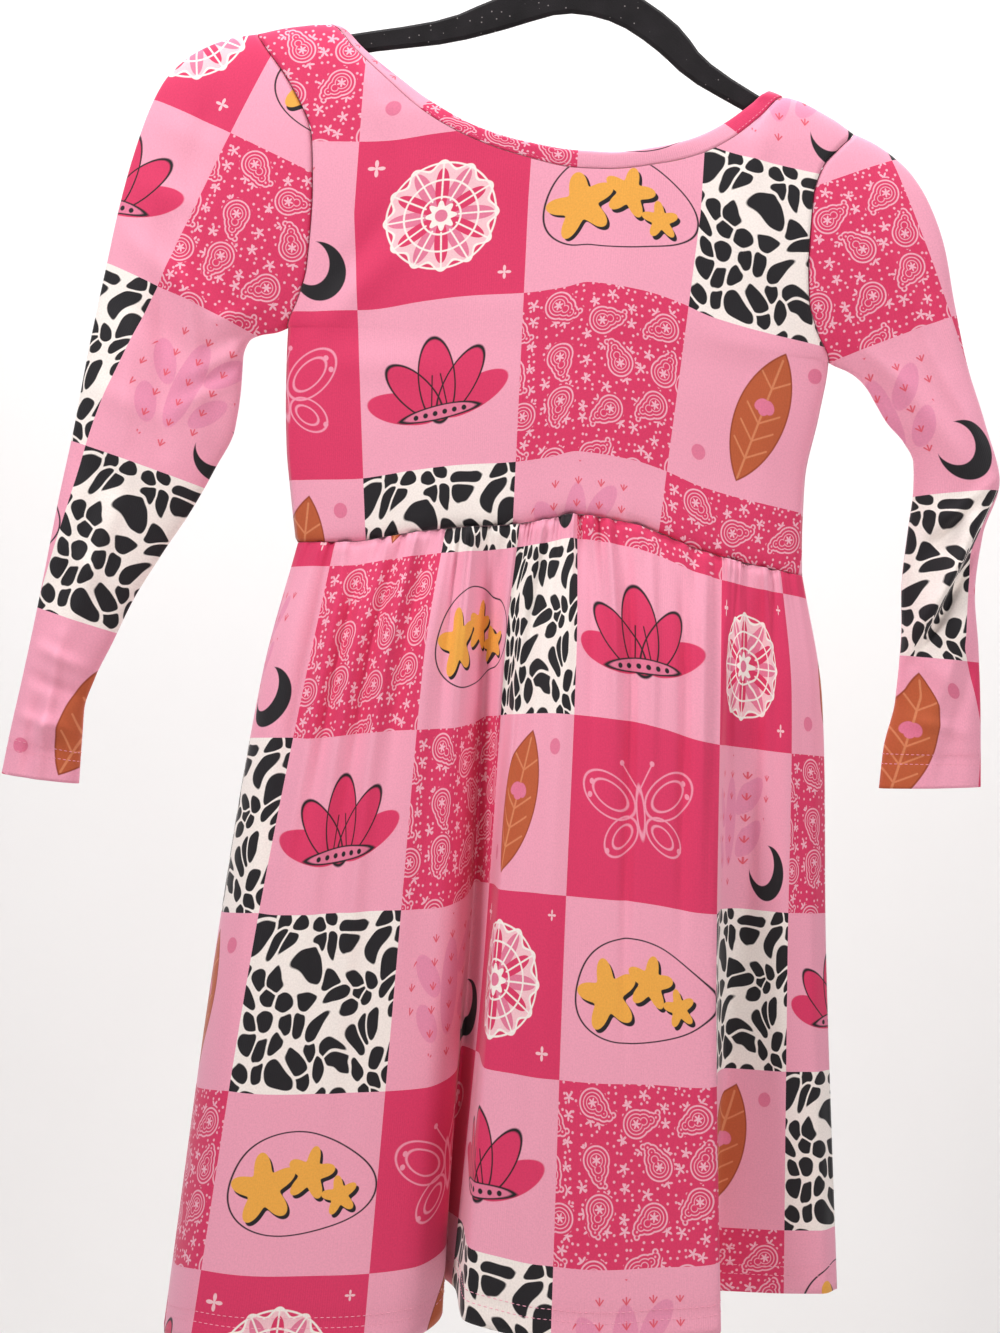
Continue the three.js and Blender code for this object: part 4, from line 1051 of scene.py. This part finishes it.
def binding_line(side, share):
    """The seam end and the free edge of the binding at a share across the neckline."""
    corner = share in CORNER
    x, y, z = bodice_point(side, share, 1)
    y = 0 if corner else y
    free_x, free_z, lean = [read(x) for read in binding_edge]
    corner_x = NECK_CORNER[0] if x < 0 else NECK_CORNER[1]
    clear = min(ARM_CLEAR, ARM_CLEAR_SLOPE * (binding_edge[1](corner_x) - free_z))
    free_y = 0 if corner else OUT[side] * max(abs(y) - lean, clear, HALF_GAP)
    slope = top_z(x - 0.5) - top_z(x + 0.5)
    away = Vector((math.copysign(1, free_x - x) if corner else slope, 0, 1)).normalized()
    start = Vector((x, y, z)) + away * (CORNER_GAP if corner else BAND_GAP)
    return start, Vector((free_x, free_y, free_z))


def ring_at(a):
    """Side and share across the neckline, from the right corner along the front and back again."""
    a = a % 1
    across = 2 * a if a <= 0.5 else 2 - 2 * a
    share = mix(*CORNER, across)
    if across in (0, 1):
        share = CORNER[int(across)]
    return ("front" if a <= 0.5 else "back"), share


ring_points = [binding_line(*ring_at(k / RING_STEPS)) for k in range(RING_STEPS + 1)]
ring_run = [0.0]
for before, after in zip(ring_points, ring_points[1:]):
    ring_run.append(ring_run[-1] + (after[0] - before[0]).length)
print("neckline in mm:", round(ring_run[-1]))


def binding_point(a, b):
    """b runs from the inside of the seam over the fold to the outside of the seam."""
    start, free = binding_line(*ring_at(a))
    ahead = binding_line(*ring_at(a + 0.002))[0] - binding_line(*ring_at(a - 0.002))[0]
    rise = free - start
    outward = ahead.cross(rise).normalized()
    width = rise.length
    half = BAND_WALL / 2
    # Along the inside, round the fold, and back down the outside
    path = (2 * width + math.pi * half - 2 * half) * b
    flat_part = width - half
    if path < flat_part:
        up, out = path, -half
    elif path > flat_part + math.pi * half:
        up, out = flat_part - (path - flat_part - math.pi * half), half
    else:
        turn = (path - flat_part) / half
        up, out = flat_part + half * math.sin(turn), -half * math.cos(turn)
    puff = 0.35 * math.sin(math.pi * clamp(up / width, 0, 1)) * (1 if out > 0 else 0)
    return start + rise.normalized() * max(up, 0) + outward * (out - half + puff)


def binding_flat(a, b):
    k = clamp(a, 0, 1) * RING_STEPS
    i = min(int(k), RING_STEPS - 1)
    return mix(ring_run[i], ring_run[i + 1], k - i), -BAND_ON_BOLT * b


binding = cut_cloth("neckline_binding", "neck_binding", lambda a, b: binding_point(a, 1 - b), binding_flat,
                    300, 14, (20, 87))
binding.modifiers["wall"].thickness = 0.6 * MM
binding.modifiers["wall"].thickness_vertex_group = 1

# %% [markdown]
# ## Stitching
# A twin needle sews the hems: two rows of short stitches on the outside. Each stitch is a small
# spindle of thread lying on the cloth, and a row is one joined mesh.

# %% Thread
thread, tree, shader = new_material("spun_polyester_thread")
spots = add(tree, "ShaderNodeTexCoord", out="Object")
fuzz = add(tree, "ShaderNodeTexNoise", {"Vector": spots, "Scale": 900.0, "Detail": 2.0})
shade = add(tree, "ShaderNodeMix", {0: fuzz, 6: srgb("#E58CA8"), 7: srgb("#F7B9CB")}, out=2, data_type="RGBA")
tree.links.new(shade, shader.inputs["Base Color"])
shader.inputs["Roughness"].default_value = 0.6


def sew(name, lines, pitch=3.4, length=2.6, thick=0.5):
    """Rows of stitches. Each line is a list of a point on the cloth and the way out of it, in mm."""
    bm = bmesh.new()
    for line in lines:
        travelled, due = 0, pitch / 2
        for (before, normal), (after, _) in zip(line, line[1:]):
            span = (after - before).length
            while span and travelled + span >= due:
                at = before.lerp(after, (due - travelled) / span)
                along = (after - before).normalized()
                across = normal.cross(along).normalized()
                up = along.cross(across)
                turn = Matrix((along, across, up)).transposed().to_4x4()
                size = Matrix.Diagonal((length / 2, thick / 2, thick / 2, 1))
                place = Matrix.Translation((at + up * thick * 0.2) * MM) @ turn @ Matrix.Scale(MM, 4) @ size
                bmesh.ops.create_icosphere(bm, subdivisions=1, radius=1, matrix=place)
                due += pitch
            travelled += span
    row = into_object(bm, name, thread)
    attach(row, "root")
    print(name, "faces:", len(row.data.polygons))


def row_on(place, ends, at, steps=400):
    """Points and outward directions along a piece of cloth, at a share of its height."""
    line = []
    for k in range(steps + 1):
        a = mix(*ends, k / steps)
        here = Vector(place(a, at))
        side_way = Vector(place(min(a + 0.003, 1), at)) - Vector(place(max(a - 0.003, 0), at))
        up_way = Vector(place(a, at + 0.01)) - here
        line.append((here, side_way.cross(up_way).normalized()))
    return line


# %% Hem and cuff rows
hem_lines = []
for side in ("front", "back"):
    hem_lines += [row_on(lambda a, b: skirt_at(side, a, 1 - b), (0.005, 0.995), height / FALL)
                  for height in HEM_ROWS]
sew("hem_stitching", hem_lines)

cuff_lines = []
for side in ("right", "left"):
    length = sleeve_curves[side][0]
    cuff_lines += [row_on(lambda a, b: sleeve_at(side, a, b), (0.002, 0.998), height / length, 240)
                   for height in CUFF_ROWS]
sew("cuff_stitching", cuff_lines, pitch=3.0, length=2.3)

# How far the row of stitches lies above the seam
NECK_ROW = 1.6
neck_line = []
for k in range(RING_STEPS + 1):
    a = k / RING_STEPS
    (start, free), (next_start, _) = binding_line(*ring_at(a)), binding_line(*ring_at(a + 1 / RING_STEPS))
    rise = (free - start).normalized()
    neck_line.append((start + rise * NECK_ROW, (next_start - start).cross(rise).normalized()))
sew("neckline_stitching", [neck_line], pitch=2.8, length=2.1, thick=0.4)

# %% [markdown]
# ## Hanger
# The hanger is a moulded plastic board covered in flock: short black fibres set on end in glue. It
# is deep black and matt, with a soft grey sheen at its edges, and light lint clings to it. The hook
# is drawn steel wire with bright chrome plating.

# %% Flock and chrome
flock, tree, shader = new_material("nylon_flock")
spots = add(tree, "ShaderNodeTexCoord", out="Object")
pile = add(tree, "ShaderNodeTexNoise", {"Vector": spots, "Scale": 1400.0, "Detail": 3.0})
nap = add(tree, "ShaderNodeTexNoise", {"Vector": spots, "Scale": 60.0, "Detail": 3.0})
shade = add(tree, "ShaderNodeMix", {0: nap, 6: srgb("#0B0A0C"), 7: srgb("#2A272B")}, out=2, data_type="RGBA")
lint = add(tree, "ShaderNodeTexVoronoi", {"Vector": spots, "Scale": 230.0}, out="Distance")
lint = sums(tree, "SUBTRACT", 0.11, lint)
lint = sums(tree, "MULTIPLY", lint, 30.0, use_clamp=True)
shade = add(tree, "ShaderNodeMix", {0: lint, 6: shade, 7: srgb("#8D8788")}, out=2, data_type="RGBA")
tree.links.new(shade, shader.inputs["Base Color"])
bump = add(tree, "ShaderNodeBump", {"Strength": 0.6, "Distance": 0.0004, "Height": pile})
tree.links.new(bump, shader.inputs["Normal"])
shader.inputs["Roughness"].default_value = 1.0
shader.inputs["Sheen Weight"].default_value = 0.35
shader.inputs["Sheen Roughness"].default_value = 0.3

chrome, tree, shader = new_material("chromed_steel_wire")
spots = add(tree, "ShaderNodeTexCoord", out="Object")
drawn = add(tree, "ShaderNodeTexNoise", {"Vector": spots, "Scale": 300.0, "Detail": 2.0})
shade = add(tree, "ShaderNodeMix", {0: drawn, 6: srgb("#BFC1C4"), 7: srgb("#D8DADC")}, out=2, data_type="RGBA")
tree.links.new(shade, shader.inputs["Base Color"])
shader.inputs["Metallic"].default_value = 1.0
shader.inputs["Roughness"].default_value = 0.18

for name, material in (("hanger_body", flock), ("hanger_hook", chrome)):
    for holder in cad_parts[name].material_slots:
        holder.material = material

# %% [markdown]
# ## Studio
# The ground is plain white. A pale floor and a wall behind give that. Three soft lights fall on the
# dress: the main one high on the left, a fill on the right and a weak warm one from below. A fourth
# is aimed at the wall.

# %% Studio
scene = bpy.context.scene
scene.view_settings.view_transform = "Standard"
world = bpy.data.worlds.new("soft_room")
world.use_nodes = True
world.node_tree.nodes["Background"].inputs["Color"].default_value = (0.94, 0.89, 1.0, 1)
world.node_tree.nodes["Background"].inputs["Strength"].default_value = 0.10
scene.world = world

paint, tree, shader = new_material("matt_white_paint")
spots = add(tree, "ShaderNodeTexCoord", out="Object")
mottle = add(tree, "ShaderNodeTexNoise", {"Vector": spots, "Scale": 3.0})
shade = add(tree, "ShaderNodeMix", {0: mottle, 6: srgb("#F7F6F5"), 7: srgb("#FBFBFA")}, out=2, data_type="RGBA")
tree.links.new(shade, shader.inputs["Base Color"])
shader.inputs["Roughness"].default_value = 0.9

for name, corners in (
    ("floor", ((-4, -3, -1.6), (4, -3, -1.6), (4, 1.6, -1.6), (-4, 1.6, -1.6))),
    ("back_wall", ((-4, 1.6, -1.6), (4, 1.6, -1.6), (4, 1.6, 2.6), (-4, 1.6, 2.6))),
):
    bm = bmesh.new()
    bm.faces.new([bm.verts.new(corner) for corner in corners])
    into_object(bm, name, paint)

for name, place, size, power, colour in (
    ("main_light", (-0.95, -0.9, 0.35), 0.35, 14, (1.0, 0.97, 0.95)),
    ("fill_light", (1.1, -0.85, 0.0), 0.5, 7.0, (1.0, 0.95, 0.93)),
    ("low_light", (0.2, -1.5, -1.0), 0.5, 3.0, (1.0, 0.82, 0.66)),
    ("wall_light", (0, 0.4, 1.6), 2.0, 68, (1.0, 1.0, 1.0)),
):
    lamp = bpy.data.lights.new(name, "AREA")
    lamp.size, lamp.energy, lamp.color = size, power, colour
    holder = bpy.data.objects.new(name, lamp)
    holder.location = place
    aim = Vector((0, 0, -0.5)) if name != "wall_light" else Vector((0, 1.6, -0.5))
    holder.rotation_euler = (aim - Vector(place)).to_track_quat("-Z", "Y").to_euler()
    bpy.context.collection.objects.link(holder)
